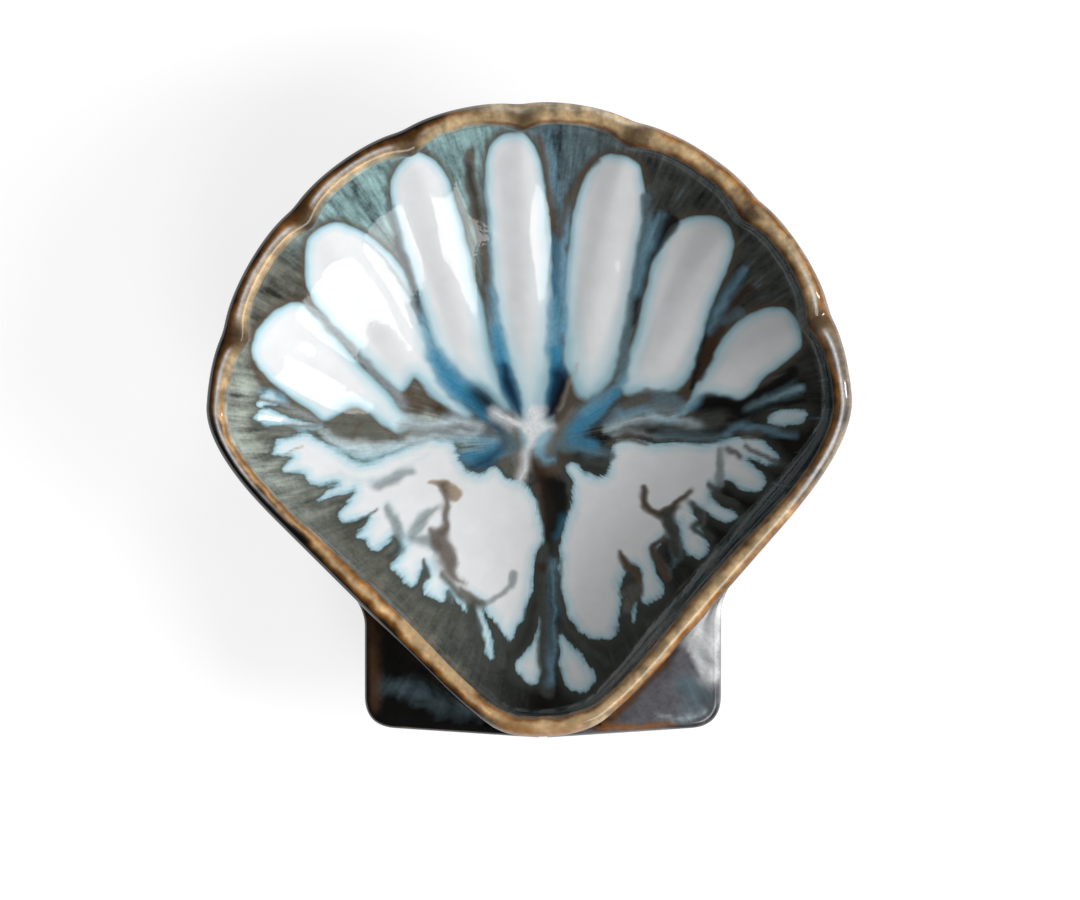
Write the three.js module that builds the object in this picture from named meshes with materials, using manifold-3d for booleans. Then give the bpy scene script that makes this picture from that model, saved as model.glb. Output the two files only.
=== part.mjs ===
// A scallop-shell dish in glazed stoneware, in millimetres with +Z up.
// X runs across the fan, and +Y runs from the hinge end to the scalloped edge.
// Plan sizes are taken from the hub, the lowest point of the bowl's floor.
// The finished dish is moved so that the origin lies under its middle.
import * as THREE from "three";
import { mergeVertices } from "three/addons/utils/BufferGeometryUtils.js";
import Module from "manifold-3d";

const wasm = await Module();
wasm.setup();

// Outline of the bowl, seen from above
const FAN_RADIUS = 62.9;
const FAN_CENTRE_X = -2.6;
const FAN_CENTRE_Y = 3.3;
const LEFT_FLANK_DISTANCE = 47.6;
const LEFT_FLANK_DIRECTION = 225;
const RIGHT_FLANK_DISTANCE = 46;
const RIGHT_FLANK_DIRECTION = 319;
const SHOULDER_BLEND = 10;
const HINGE_BLEND = 32;

// Ribs pressed into the bowl, and the notch where each one meets the rim
const RIB_DIRECTIONS = [24, 48.5, 74, 94, 114.5, 137, 161];
const RIB_HEIGHT = 0.6;
const RIB_HALF_WIDTH_AT_RIM = 6.3;
const RIB_HALF_WIDTH_AT_FLOOR = 3.6;
const RIB_OVAL_HALF_WIDTH = 28;
const RIB_OVAL_HALF_DEPTH = 10;
const RIB_RISE = 0.5;
const NOTCH_DEPTH = 1.2;
const NOTCH_DIP = 1;
const NOTCH_CROWN_SHIFT = 2;
const NOTCH_HALF_ANGLE = 5.5;

// Section of the bowl
const DISH_HEIGHT = 28;
const HINGE_DROP = 3;
const WALL = 4.2;
const FLOOR_THICKNESS = 5;
const INSIDE_POWER = 2.4;
const OUTSIDE_POWER = 1.6;
const WALL_STEEPNESS = 0.75;

// Foot ring, left bare
const FOOT_HEIGHT = 3;
const FOOT_OUTER_RADIUS = 27;
const FOOT_WIDTH = 6;
const FOOT_CHAMFER = 0.8;
const BARE_BAND = 2;
const BARE_RISE = 1;

// Ears at the hinge end
const EAR_HALF_SPAN = 35;
const HINGE_MARGIN = 0.6;
const HINGE_BOW = 2.3;
const EAR_CORNER_RADIUS = 6;
const EAR_NECK = 4;
const EAR_DROP = 8;
const EAR_THICKNESS = 6;
const EAR_EDGE = 1.2;
const EAR_LIP = 2.4;
const POOL_DEPTH = 1;
const POOL_END = 11;

// Glaze coats and the clearances between pieces
const GLAZE = 0.8;
const GLAZE_GAP = 0.1;
const SEAM_GAP = 0.2;
const EAR_GAP = 0.2;

// Smoothness of the curved faces
const ANGLE_STEPS = 120;
const INSIDE_STEPS = 10;
const LIP_STEPS = 4;
const OUTSIDE_STEPS = 5;
const FOOT_STEPS = 64;
const CORNER_STEPS = 5;
const EDGE_STEPS = 2;
const WELD_DISTANCE = 1e-4;

const FAR_AWAY = 10 * FAN_RADIUS;
const GLAZED_FLOOR = FOOT_HEIGHT + FLOOR_THICKNESS;
const LIP_RADIUS = WALL / 2;
const LIP_END = INSIDE_STEPS + LIP_STEPS;
const EAR_TOP = DISH_HEIGHT - EAR_DROP;
const EAR_BOTTOM = EAR_TOP - EAR_THICKNESS;
const CLAY_DEPTH = GLAZE + GLAZE_GAP;
const GLAZE_LINE_RADIUS = FOOT_OUTER_RADIUS + BARE_BAND;
const GLAZE_LINE_HEIGHT = FOOT_HEIGHT + BARE_RISE;

const clay = new THREE.MeshStandardMaterial({ color: 0xb79c7c, roughness: 0.85, metalness: 0 });
const whiteGlaze = new THREE.MeshStandardMaterial({ color: 0xc9dadd, roughness: 0.15, metalness: 0 });
const amberGlaze = new THREE.MeshStandardMaterial({ color: 0xb98a4e, roughness: 0.2, metalness: 0 });
const brownGlaze = new THREE.MeshStandardMaterial({ color: 0x2b211a, roughness: 0.15, metalness: 0 });
const poolGlaze = new THREE.MeshStandardMaterial({ color: 0x24262a, roughness: 0.15, metalness: 0 });

const HINGE_DIRECTION = 270;
const radians = (degrees) => THREE.MathUtils.degToRad(degrees);

// The lesser of two lengths, rounded off where they come within the blend of each other
function blendedLesser(first, second, blend) {
  const nearness = Math.max(blend - Math.abs(first - second), 0) / blend;
  return Math.min(first, second) - (nearness * nearness * blend) / 4;
}

// Distance from the hub to the fan's circle
function fanDistance(angle) {
  const along = FAN_CENTRE_X * Math.cos(radians(angle)) + FAN_CENTRE_Y * Math.sin(radians(angle));
  const offCentre = FAN_CENTRE_X ** 2 + FAN_CENTRE_Y ** 2 - along * along;
  return along + Math.sqrt(FAN_RADIUS ** 2 - offCentre);
}

// Distance from the hub to a straight flank, held well outside the dish where the ray turns away from it
function flankDistance(angle, distance, direction) {
  const facing = Math.cos(radians(angle - direction));
  return distance / Math.max(facing, distance / FAR_AWAY);
}

// 1 in the middle of a rim notch, 0 along the lobes
function notchAt(angle) {
  let sum = 0;
  for (const direction of RIB_DIRECTIONS) {
    sum += Math.exp(-(((angle - direction) / NOTCH_HALF_ANGLE) ** 2));
  }
  return sum;
}

function plainRimRadius(angle) {
  const left = flankDistance(angle, LEFT_FLANK_DISTANCE, LEFT_FLANK_DIRECTION);
  const right = flankDistance(angle, RIGHT_FLANK_DISTANCE, RIGHT_FLANK_DIRECTION);
  return blendedLesser(blendedLesser(left, right, HINGE_BLEND), fanDistance(angle), SHOULDER_BLEND);
}

function rimRadius(angle) {
  return plainRimRadius(angle) - NOTCH_DEPTH * notchAt(angle);
}

function rimHeight(angle) {
  const towardsHinge = (1 - Math.sin(radians(angle))) / 2;
  return DISH_HEIGHT - HINGE_DROP * towardsHinge * towardsHinge - NOTCH_DIP * notchAt(angle);
}

function planPoint(angle, radius) {
  return new THREE.Vector2(radius * Math.cos(radians(angle)), radius * Math.sin(radians(angle)));
}

// Each rib runs from an oval round the floor to a rounded end just inside the rim
const ribs = RIB_DIRECTIONS.map((direction) => {
  const start = new THREE.Vector2(
    RIB_OVAL_HALF_WIDTH * Math.cos(radians(direction)),
    RIB_OVAL_HALF_DEPTH * Math.sin(radians(direction)),
  );
  const end = planPoint(direction, rimRadius(direction) - WALL - NOTCH_CROWN_SHIFT - RIB_HALF_WIDTH_AT_RIM);
  return { start, run: end.clone().sub(start) };
});

function ribRise(point) {
  let rise = 0;
  for (const { start, run } of ribs) {
    const offset = point.clone().sub(start);
    const along = THREE.MathUtils.clamp(offset.dot(run) / run.lengthSq(), 0, 1);
    const halfWidth = THREE.MathUtils.lerp(RIB_HALF_WIDTH_AT_FLOOR, RIB_HALF_WIDTH_AT_RIM, along);
    const across = offset.addScaledVector(run, -along).length() / halfWidth;
    if (across < 1) {
      rise += RIB_HEIGHT * THREE.MathUtils.smoothstep(along, 0, RIB_RISE) * (1 - across * across) ** 2;
    }
  }
  return rise;
}

// Share of the depth reached at a share of the way out, upright where it meets the lip
function wallShare(outward, power) {
  return 1 - (1 - outward ** power) ** WALL_STEEPNESS;
}

// The glazed surface at one angle, as [radius, height] points from the hub, over the lip, to the glaze line
function skinSection(angle) {
  const rim = rimRadius(angle);
  const lipFoot = rimHeight(angle) - LIP_RADIUS;
  const crownShift = NOTCH_CROWN_SHIFT * notchAt(angle);
  const points = [];
  for (let i = 0; i <= INSIDE_STEPS; i += 1) {
    const outward = Math.sin((Math.PI / 2) * (i / INSIDE_STEPS));
    const radius = outward * (rim - WALL - crownShift);
    const height = GLAZED_FLOOR + (lipFoot - GLAZED_FLOOR) * wallShare(outward, INSIDE_POWER);
    points.push([radius, height + ribRise(planPoint(angle, radius))]);
  }
  for (let i = 1; i <= LIP_STEPS; i += 1) {
    const turn = Math.PI * (1 - i / LIP_STEPS);
    const reach = Math.cos(turn) * (LIP_RADIUS + (turn < Math.PI / 2 ? crownShift : 0));
    points.push([rim - LIP_RADIUS - crownShift + reach, lipFoot + LIP_RADIUS * Math.sin(turn)]);
  }
  for (let i = 1; i <= OUTSIDE_STEPS; i += 1) {
    const outward = Math.cos((Math.PI / 2) * (i / OUTSIDE_STEPS));
    const radius = GLAZE_LINE_RADIUS + outward * (rim - GLAZE_LINE_RADIUS);
    const height = GLAZE_LINE_HEIGHT + (lipFoot - GLAZE_LINE_HEIGHT) * wallShare(outward, OUTSIDE_POWER);
    points.push([radius, height]);
  }
  return points;
}

// The same section set in from the glazed surface by a depth
function insetSection(points, depth) {
  return points.map(([radius, height], i) => {
    const before = points[Math.max(i - 1, 0)];
    const after = points[Math.min(i + 1, points.length - 1)];
    const run = new THREE.Vector2(after[0] - before[0], after[1] - before[1]).normalize();
    if (i === 0) {
      run.set(1, 0);
    }
    return [radius + run.y * depth, height - run.x * depth];
  });
}

// A stretch of a section, drawn back from its ends to leave seams between coats
function drawnBack(points, startGap, endGap) {
  const moved = points.map((point) => [...point]);
  const shift = (from, towards, gap) => {
    const run = new THREE.Vector2(towards[0] - from[0], towards[1] - from[1]).setLength(gap);
    return [from[0] + run.x, from[1] + run.y];
  };
  const last = points.length - 1;
  moved[0] = startGap > 0 ? shift(points[0], points[1], startGap) : moved[0];
  moved[last] = endGap > 0 ? shift(points[last], points[last - 1], endGap) : moved[last];
  return moved;
}

// A closed surface swept round the hub from a section at each angle
function sweep(sectionAt) {
  const positions = [];
  const first = sectionAt(0);
  const count = first.length;
  for (let i = 0; i < ANGLE_STEPS; i += 1) {
    const angle = (360 * i) / ANGLE_STEPS;
    for (const [radius, height] of sectionAt(angle)) {
      const point = planPoint(angle, radius);
      positions.push(point.x, point.y, height);
    }
  }
  const index = (i, j) => (first[j % count][0] === 0 ? j % count : (i % ANGLE_STEPS) * count + (j % count));
  const indices = [];
  const addTriangle = (a, b, c) => {
    if (a !== b && b !== c && c !== a) {
      indices.push(a, b, c);
    }
  };
  for (let i = 0; i < ANGLE_STEPS; i += 1) {
    for (let j = 0; j < count; j += 1) {
      const corners = [index(i, j), index(i, j + 1), index(i + 1, j + 1), index(i + 1, j)];
      // Faces are split from their inner corner, so that a coat and the clay behind it are split alike
      const turn = first[j][0] <= first[(j + 1) % count][0] ? 0 : 1;
      const [a, b, c, d] = [0, 1, 2, 3].map((k) => corners[(k + turn) % 4]);
      addTriangle(a, b, c);
      addTriangle(a, c, d);
    }
  }
  const geometry = new THREE.BufferGeometry();
  geometry.setAttribute("position", new THREE.Float32BufferAttribute(positions, 3));
  geometry.setIndex(indices);
  return geometry;
}

// A coat of glaze over the stretch of the section between two of its points
function glazeCoat(from, to, startGap, endGap) {
  return sweep((angle) => {
    const skin = skinSection(angle);
    const back = insetSection(skin, GLAZE);
    const face = drawnBack(skin.slice(from, to + 1), startGap, endGap);
    const bond = drawnBack(back.slice(from, to + 1), startGap, endGap);
    return [...face, ...bond.reverse()];
  });
}

function bowlBody() {
  return sweep((angle) => {
    const section = insetSection(skinSection(angle), CLAY_DEPTH);
    return [...section, [FOOT_OUTER_RADIUS, FOOT_HEIGHT], [0, FOOT_HEIGHT]];
  });
}

// Everything inside the clay's outer face, grown by a clearance: the space that the ears are cut to
function bowlEnvelope(clearance) {
  return sweep((angle) => {
    const section = insetSection(skinSection(angle), CLAY_DEPTH - clearance);
    const outside = section.slice(INSIDE_STEPS + LIP_STEPS / 2);
    return [[0, outside[0][1]], ...outside, [FOOT_OUTER_RADIUS, FOOT_HEIGHT], [0, FOOT_HEIGHT]];
  });
}

function footRing() {
  const inner = FOOT_OUTER_RADIUS - FOOT_WIDTH;
  const section = [
    [inner, FOOT_CHAMFER],
    [inner + FOOT_CHAMFER, 0],
    [FOOT_OUTER_RADIUS - FOOT_CHAMFER, 0],
    [FOOT_OUTER_RADIUS, FOOT_CHAMFER],
    [FOOT_OUTER_RADIUS, FOOT_HEIGHT],
    [inner, FOOT_HEIGHT],
    [inner, FOOT_CHAMFER],
  ];
  const geometry = new THREE.LatheGeometry(section.map(([x, y]) => new THREE.Vector2(x, y)), FOOT_STEPS);
  geometry.rotateX(Math.PI / 2);
  return geometry;
}

// Plan of one ear, set in from its edges and ended at a distance from the middle of the hinge.
// Side is -1 for the left ear and 1 for the right one. The hinge edge lies just outside the rim.
function earOutline(side, inset, innerEnd) {
  const direction = radians(side < 0 ? LEFT_FLANK_DIRECTION : RIGHT_FLANK_DIRECTION);
  const distance = side < 0 ? LEFT_FLANK_DISTANCE : RIGHT_FLANK_DISTANCE;
  const flankY = (x) => (distance - x * Math.cos(direction)) / Math.sin(direction);
  const hingeMiddle = -rimRadius(HINGE_DIRECTION) - HINGE_MARGIN;
  const hingeY = (x) => hingeMiddle + inset + (HINGE_BOW * Math.abs(x)) / EAR_HALF_SPAN;
  const edge = side * (EAR_HALF_SPAN - inset);
  const radius = EAR_CORNER_RADIUS - inset;
  const cornerX = edge - side * radius;
  const neckTop = edge + side * EAR_NECK;
  const outline = new THREE.Shape();
  outline.moveTo(neckTop, flankY(neckTop));
  outline.quadraticCurveTo(edge, flankY(edge), edge, flankY(edge) - EAR_NECK);
  outline.lineTo(edge, hingeY(edge) + radius);
  outline.quadraticCurveTo(edge, hingeY(edge), cornerX, hingeY(cornerX));
  outline.lineTo(side * innerEnd, hingeY(innerEnd));
  outline.lineTo(side * innerEnd, 0);
  outline.closePath();
  return outline;
}

// An outline raised between two heights, with its edges rounded over
function slab(outline, bottom, top, edge) {
  const geometry = new THREE.ExtrudeGeometry(outline, {
    depth: top - bottom - 2 * edge,
    bevelEnabled: edge > 0,
    bevelThickness: edge,
    bevelSize: edge,
    bevelOffset: -edge,
    bevelSegments: EDGE_STEPS,
    curveSegments: CORNER_STEPS,
  });
  geometry.translate(0, 0, bottom + edge);
  return geometry;
}

function toSolid(geometry) {
  const bare = new THREE.BufferGeometry();
  bare.setAttribute("position", geometry.getAttribute("position"));
  bare.setIndex(geometry.getIndex());
  const welded = mergeVertices(bare, WELD_DISTANCE);
  return new wasm.Manifold(
    new wasm.Mesh({
      numProp: 3,
      vertProperties: new Float32Array(welded.getAttribute("position").array),
      triVerts: new Uint32Array(welded.getIndex().array),
    }),
  );
}

function toGeometry(solid) {
  const mesh = solid.getMesh();
  const geometry = new THREE.BufferGeometry();
  geometry.setAttribute("position", new THREE.Float32BufferAttribute(mesh.vertProperties, 3));
  geometry.setIndex(Array.from(mesh.triVerts));
  return geometry;
}

// One clay ear, hollowed on top for its pool of glaze and fitted to the outside of the bowl
function ear(side) {
  const blank = toSolid(slab(earOutline(side, 0, SEAM_GAP / 2), EAR_BOTTOM, EAR_TOP, EAR_EDGE));
  const hollowOutline = earOutline(side, EAR_LIP, POOL_END);
  const hollow = toSolid(slab(hollowOutline, EAR_TOP - POOL_DEPTH, EAR_TOP + POOL_DEPTH, 0));
  return toGeometry(blank.subtract(hollow).subtract(toSolid(bowlEnvelope(EAR_GAP))));
}

// The pool of dark glaze that fills the hollow in an ear
function earGlaze(side) {
  const outline = earOutline(side, EAR_LIP + GLAZE_GAP, POOL_END + GLAZE_GAP);
  const pool = toSolid(slab(outline, EAR_TOP - POOL_DEPTH + GLAZE_GAP, EAR_TOP - GLAZE_GAP, 0));
  return toGeometry(pool.subtract(toSolid(bowlEnvelope(EAR_GAP + GLAZE_GAP))));
}

// The brown coat on the outside, left open where the ears join the clay
function outsideGlaze() {
  let coat = toSolid(glazeCoat(LIP_END, LIP_END + OUTSIDE_STEPS, SEAM_GAP / 2, 0));
  for (const side of [-1, 1]) {
    const opening = slab(earOutline(side, -EAR_GAP, -EAR_GAP), EAR_BOTTOM - EAR_GAP, EAR_TOP + EAR_GAP, 0);
    coat = coat.subtract(toSolid(opening));
  }
  return toGeometry(coat);
}

const dish = new THREE.Group();
dish.name = "shell_dish";

function addPiece(name, geometry, material) {
  const piece = new THREE.Mesh(geometry, material);
  piece.name = name;
  dish.add(piece);
}

addPiece("bowl_body", bowlBody(), clay);
addPiece("foot_ring", footRing(), clay);
addPiece("left_ear", ear(-1), brownGlaze);
addPiece("right_ear", ear(1), brownGlaze);
addPiece("liner_glaze", glazeCoat(0, INSIDE_STEPS, 0, SEAM_GAP / 2), whiteGlaze);
addPiece("rim_glaze", glazeCoat(INSIDE_STEPS, LIP_END, SEAM_GAP / 2, SEAM_GAP / 2), amberGlaze);
addPiece("outside_glaze", outsideGlaze(), brownGlaze);
addPiece("left_ear_glaze", earGlaze(-1), poolGlaze);
addPiece("right_ear_glaze", earGlaze(1), poolGlaze);

// The middle of the dish is brought over the origin
const middle = new THREE.Box3().setFromObject(dish).getCenter(new THREE.Vector3());
for (const piece of dish.children) {
  piece.geometry.translate(-middle.x, -middle.y, 0);
}

export default dish;
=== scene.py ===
"""A scallop-shell dish in reactive-glazed stoneware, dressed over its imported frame."""
import math
from types import SimpleNamespace

import bpy
import numpy as np
from bpy.props import FloatProperty, FloatVectorProperty, PointerProperty
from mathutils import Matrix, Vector


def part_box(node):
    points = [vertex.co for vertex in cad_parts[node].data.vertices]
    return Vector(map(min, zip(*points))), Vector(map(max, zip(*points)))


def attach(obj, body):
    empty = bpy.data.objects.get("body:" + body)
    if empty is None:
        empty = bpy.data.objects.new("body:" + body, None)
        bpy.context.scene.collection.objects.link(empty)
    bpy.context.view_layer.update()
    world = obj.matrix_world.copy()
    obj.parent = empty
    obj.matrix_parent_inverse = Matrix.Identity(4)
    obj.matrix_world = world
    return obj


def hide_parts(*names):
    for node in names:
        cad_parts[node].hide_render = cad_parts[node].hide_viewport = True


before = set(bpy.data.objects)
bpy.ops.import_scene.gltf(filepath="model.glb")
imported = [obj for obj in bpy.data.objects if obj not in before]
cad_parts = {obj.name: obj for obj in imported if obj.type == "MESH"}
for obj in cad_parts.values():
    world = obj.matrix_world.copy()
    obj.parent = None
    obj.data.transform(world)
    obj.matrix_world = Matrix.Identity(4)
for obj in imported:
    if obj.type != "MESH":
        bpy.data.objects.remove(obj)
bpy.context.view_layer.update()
FOOT_LOW, FOOT_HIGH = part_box("foot_ring")
HUB = (FOOT_LOW + FOOT_HIGH) / 2
BODY = "root"
MILLIMETRE = 0.001

bl_info = {
    "name": "Shell dish",
    "version": (1, 0, 0),
    "blender": (4, 5, 0),
    "location": "View3D > Sidebar > Shell dish",
    "description": "Makes a scallop-shell dish in reactive-glazed stoneware",
    "category": "Object",
}


# Settings

def linear(code):
    """Linear colour of a hexadecimal sRGB code."""
    shares = [int(code[i:i + 2], 16) / 255 for i in (0, 2, 4)]
    return tuple(c / 12.92 if c <= 0.04045 else ((c + 0.055) / 1.055) ** 2.4 for c in shares)


def length(label, about, default):
    return FloatProperty(name=label, description=about, default=default, unit="LENGTH", precision=5)


def turn(label, about, degrees):
    return FloatProperty(name=label, description=about, default=math.radians(degrees), unit="ROTATION")


def share(label, about, default):
    return FloatProperty(name=label, description=about, default=default, min=0.0)


def colour(label, about, code):
    return FloatVectorProperty(
        name=label, description=about, default=linear(code), subtype="COLOR", min=0, max=1)


class ShellSizes(bpy.types.PropertyGroup):
    """Sizes of the bowl and its glaze, in plan from the hub at the bowl's lowest point."""

    fan_radius: length("Fan radius", "Radius of the scalloped edge", 0.0629)
    fan_x: length("Fan centre X", "Centre of the scalloped edge, across the dish", -0.0026)
    fan_y: length("Fan centre Y", "Centre of the scalloped edge, along the dish", 0.0033)
    left_flank: length("Left flank", "Distance of the left straight side from the hub", 0.0476)
    left_direction: turn("Left flank direction", "Direction that the left straight side faces", 225)
    right_flank: length("Right flank", "Distance of the right straight side from the hub", 0.046)
    right_direction: turn("Right flank direction", "Direction that the right straight side faces", 319)
    shoulder_blend: length("Shoulder blend", "Rounding where a straight side meets the fan", 0.010)
    hinge_blend: length("Hinge blend", "Rounding where the two straight sides meet", 0.032)
    rib_directions: FloatVectorProperty(
        name="Rib direction", description="Directions of the ribs from the hub", size=7, unit="ROTATION",
        default=[math.radians(d) for d in (24, 48.5, 74, 94, 114.5, 137, 161)])
    rib_height: length("Rib height", "Height of a rib above the bowl", 0.0006)
    rib_rim_width: length("Rib half width at rim", "Half width of a rib at its outer end", 0.0063)
    rib_floor_width: length("Rib half width at floor", "Half width of a rib at its inner end", 0.0036)
    rib_oval_x: length("Rib oval half width", "Oval round the floor where the ribs start, across", 0.028)
    rib_oval_y: length("Rib oval half depth", "Oval round the floor where the ribs start, along", 0.010)
    rib_rise: share("Rib rise", "Share of a rib's length over which it rises", 0.5)
    notch_depth: length("Notch depth", "How far the rim draws in at a rib", 0.0005)
    notch_dip: length("Notch dip", "How far the rim drops at a rib", 0.001)
    crown_shift: length("Crown shift", "How far the lip's crest draws in at a rib", 0.0013)
    notch_half_angle: turn("Notch half angle", "Half width of a notch, seen from the hub", 5.5)
    dish_height: length("Dish height", "Height of the rim at the fan", 0.028)
    hinge_drop: length("Hinge drop", "How much lower the rim is at the hinge", 0.003)
    wall: length("Wall", "Thickness of the wall at the lip", 0.0042)
    glazed_floor: length("Glazed floor", "Height of the bowl's floor", 0.008)
    inside_power: share("Inside power", "Roundness of the inside", 2.4)
    outside_power: share("Outside power", "Roundness of the outside", 1.6)
    steepness: share("Wall steepness", "How upright the wall is at the lip", 0.75)
    foot_height: length("Foot height", "Height of the foot ring", 0.003)
    foot_radius: length("Foot radius", "Outer radius of the foot ring", 0.027)
    line_radius: length("Glaze line radius", "Where the outer glaze stops short of the foot", 0.029)
    line_height: length("Glaze line height", "Height at which the outer glaze stops", 0.004)


class EarSizes(bpy.types.PropertyGroup):
    """Sizes of the two ears at the hinge end."""

    half_span: length("Half span", "Distance of an ear's outer edge from the hub", 0.035)
    hinge_margin: length("Hinge margin", "How far the hinge edge lies outside the rim", 0.0006)
    hinge_bow: length("Hinge bow", "How far the hinge edge draws in at the ends", 0.0023)
    corner: length("Corner radius", "Rounding of the outer corner", 0.006)
    neck: length("Neck", "Rounding where an ear leaves the bowl", 0.004)
    top: length("Top", "Height of an ear's lip", 0.020)
    bottom: length("Bottom", "Height of an ear's underside", 0.014)
    edge: length("Edge", "Rounding of an ear's edges", 0.0014)
    lip: length("Lip", "Width of the lip round the pool of glaze", 0.0024)
    pool_depth: length("Pool depth", "Depth of the hollow that the glaze fills", 0.001)
    pool_end: length("Pool end", "Distance of the pool's end from the middle of the hinge", 0.011)
    bury: length("Bury", "How far an ear runs into the bowl's wall", 0.0025)


class GlazeSizes(bpy.types.PropertyGroup):
    """Thicknesses of the coats and the gaps between them."""

    coat: length("Coat", "Thickness of a glaze coat", 0.0008)
    clay_depth: length("Clay depth", "Depth of the clay under the glazed face", 0.0009)
    gap: length("Gap", "Clearance round the pools in the ears", 0.0001)
    foot_width: length("Foot width", "Width of the foot ring", 0.006)
    foot_round: length("Foot rounding", "Rounding of the foot ring's edges", 0.0008)


class GlazeColours(bpy.types.PropertyGroup):
    """Colours of the clay and of the glaze as it breaks and pools."""

    clay: colour("Clay", "Bare stoneware", "B79C7C")
    white: colour("White", "Thick pooled glaze", "F1F3F4")
    pale: colour("Pale", "Pooled glaze near its edge", "D3E8EF")
    cyan: colour("Cyan", "Edge of a pool", "9CC4D0")
    sky: colour("Sky", "Light blue streaks", "7FAFC6")
    blue: colour("Blue", "Blue in the grooves", "3A8AB0")
    navy: colour("Navy", "Deep blue round the hub", "173049")
    black: colour("Black", "Thickest dark glaze", "0F0E0D")
    soot: colour("Soot", "Dark glaze at the right shoulder and the hinge", "16130F")
    mist: colour("Mist", "Pale blue-green glaze over the fan", "8AA8A8")
    moss: colour("Moss", "Grey-green glaze on the left", "939A90")
    charcoal: colour("Charcoal", "Dark glaze on the right", "484B47")
    slate: colour("Slate", "Blue-grey glaze in the bays", "62777F")
    olive: colour("Olive", "Grey-green bands", "66675E")
    smoke: colour("Smoke", "Grey veils in the white", "8E9698")
    brown: colour("Brown", "Brown where the glaze is thin", "3B2A1C")
    bark: colour("Bark", "Grey-brown lines", "5C5044")
    cream: colour("Cream", "Glaze broken thin on the crest", "E3D3B8")
    taupe: colour("Taupe", "Grey-brown outside the right rim", "7F7264")
    tan: colour("Tan", "Tan lines in the white", "A4927C")
    amber: colour("Amber", "Amber where the glaze breaks on the lip", "9A6328")
    honey: colour("Honey", "Pale amber along the lip's crest", "CBAE84")
    ash: colour("Ash", "Grey glaze pooled on the right ear", "66666B")


# Node trees

class Term:
    """A number in a node tree. Arithmetic on terms adds the nodes that work it out."""

    def __init__(self, tree, socket):
        self.tree = tree
        self.socket = socket

    def work(self, operation, *others):
        node = self.tree.nodes.new("ShaderNodeMath")
        node.operation = operation
        for entry, value in zip(node.inputs, (self, *others)):
            join(self.tree, value, entry)
        return Term(self.tree, node.outputs[0])

    def __add__(self, other):
        return self.work("ADD", other)

    __radd__ = __add__

    def __sub__(self, other):
        return self.work("SUBTRACT", other)

    def __rsub__(self, other):
        return self.work("MULTIPLY", -1.0).work("ADD", other)

    def __mul__(self, other):
        return self.work("MULTIPLY", other)

    def __truediv__(self, other):
        return self.work("DIVIDE", other)

    def __pow__(self, power):
        return self.work("POWER", power)

    def sin(self):
        return self.work("SINE")

    def cos(self):
        return self.work("COSINE")

    def below(self, other):
        return self.work("LESS_THAN", other)

    def within(self, low, high):
        return self.work("MAXIMUM", low).work("MINIMUM", high)


def join(tree, value, entry):
    """Links a node's input to another node, or sets its value."""
    if isinstance(value, Term):
        value = value.socket
    if isinstance(value, bpy.types.NodeSocket):
        tree.links.new(value, entry)
    else:
        entry.default_value = value


def add_node(tree, kind, values=None, **settings):
    """A node with its settings, and with its inputs linked or set by name or place."""
    node = tree.nodes.new(kind)
    for name, setting in settings.items():
        setattr(node, name, setting)
    for label, value in (values or {}).items():
        join(tree, value, node.inputs[label])
    return node


def pick(condition, chosen, other):
    """One of two terms, by a condition that is 1 or 0."""
    return other + (chosen - other) * condition


def size_labels():
    """The shell's sizes as (attribute, place in it, label), in the order of the settings."""
    labels = []
    for field in ShellSizes.bl_rna.properties:
        if field.identifier in {"rna_type", "name"}:
            continue
        count = field.array_length if field.is_array else 0
        labels.extend((field.identifier, i, f"{field.name} {i + 1}") for i in range(count))
        if not count:
            labels.append((field.identifier, None, field.name))
    return labels


def size_values(sizes):
    """The shell's sizes by label."""
    values = {}
    for name, place, label in size_labels():
        value = getattr(sizes, name)
        values[label] = value if place is None else value[place]
    return values


NUMBER = "NodeSocketFloat"


def new_tree(name, inputs, outputs):
    """A tree that takes in the shell's sizes and some inputs of its own."""
    group = bpy.data.node_groups.new(name, "GeometryNodeTree")
    shared = {label: NUMBER for _, _, label in size_labels()}
    for label, kind in {**inputs, **shared}.items():
        group.interface.new_socket(label, in_out="INPUT", socket_type=kind)
    for label, kind in outputs.items():
        group.interface.new_socket(label, in_out="OUTPUT", socket_type=kind)
    entry = group.nodes.new("NodeGroupInput")
    given = {socket.name: Term(group, socket) for socket in entry.outputs if socket.name}
    sizes = SimpleNamespace()
    for attribute, place, label in size_labels():
        if place is None:
            setattr(sizes, attribute, given[label])
        else:
            setattr(sizes, attribute, [*getattr(sizes, attribute, []), given[label]])
    return SimpleNamespace(group=group, given=given, sizes=sizes, exit=group.nodes.new("NodeGroupOutput"))


def give_out(tree, **results):
    """Links a tree's results to its outputs."""
    for label, value in results.items():
        join(tree.group, value, tree.exit.inputs[label])


def call(tree, group, **own):
    """Another tree called inside this one, with the shell's sizes passed on."""
    sizes = {label: tree.given[label] for _, _, label in size_labels()}
    node = add_node(tree.group, "GeometryNodeGroup", node_tree=group)
    for label, value in {**sizes, **own}.items():
        join(tree.group, value, node.inputs[label])
    return [Term(tree.group, socket) for socket in node.outputs]


# A straight side is taken as no further off than some fan radii, and the notches have soft tips
LOST_RADII = 10.0
NOTCH_TIP = 0.5
NOTCH_FALL = 4.0


def blended_lesser(first, second, blend):
    """The lesser of two terms, rounded where they cross."""
    nearness = (blend - (first - second).work("ABSOLUTE")).work("MAXIMUM", 0.0) / blend
    return first.work("MINIMUM", second) - nearness * nearness * blend / 4.0


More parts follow.
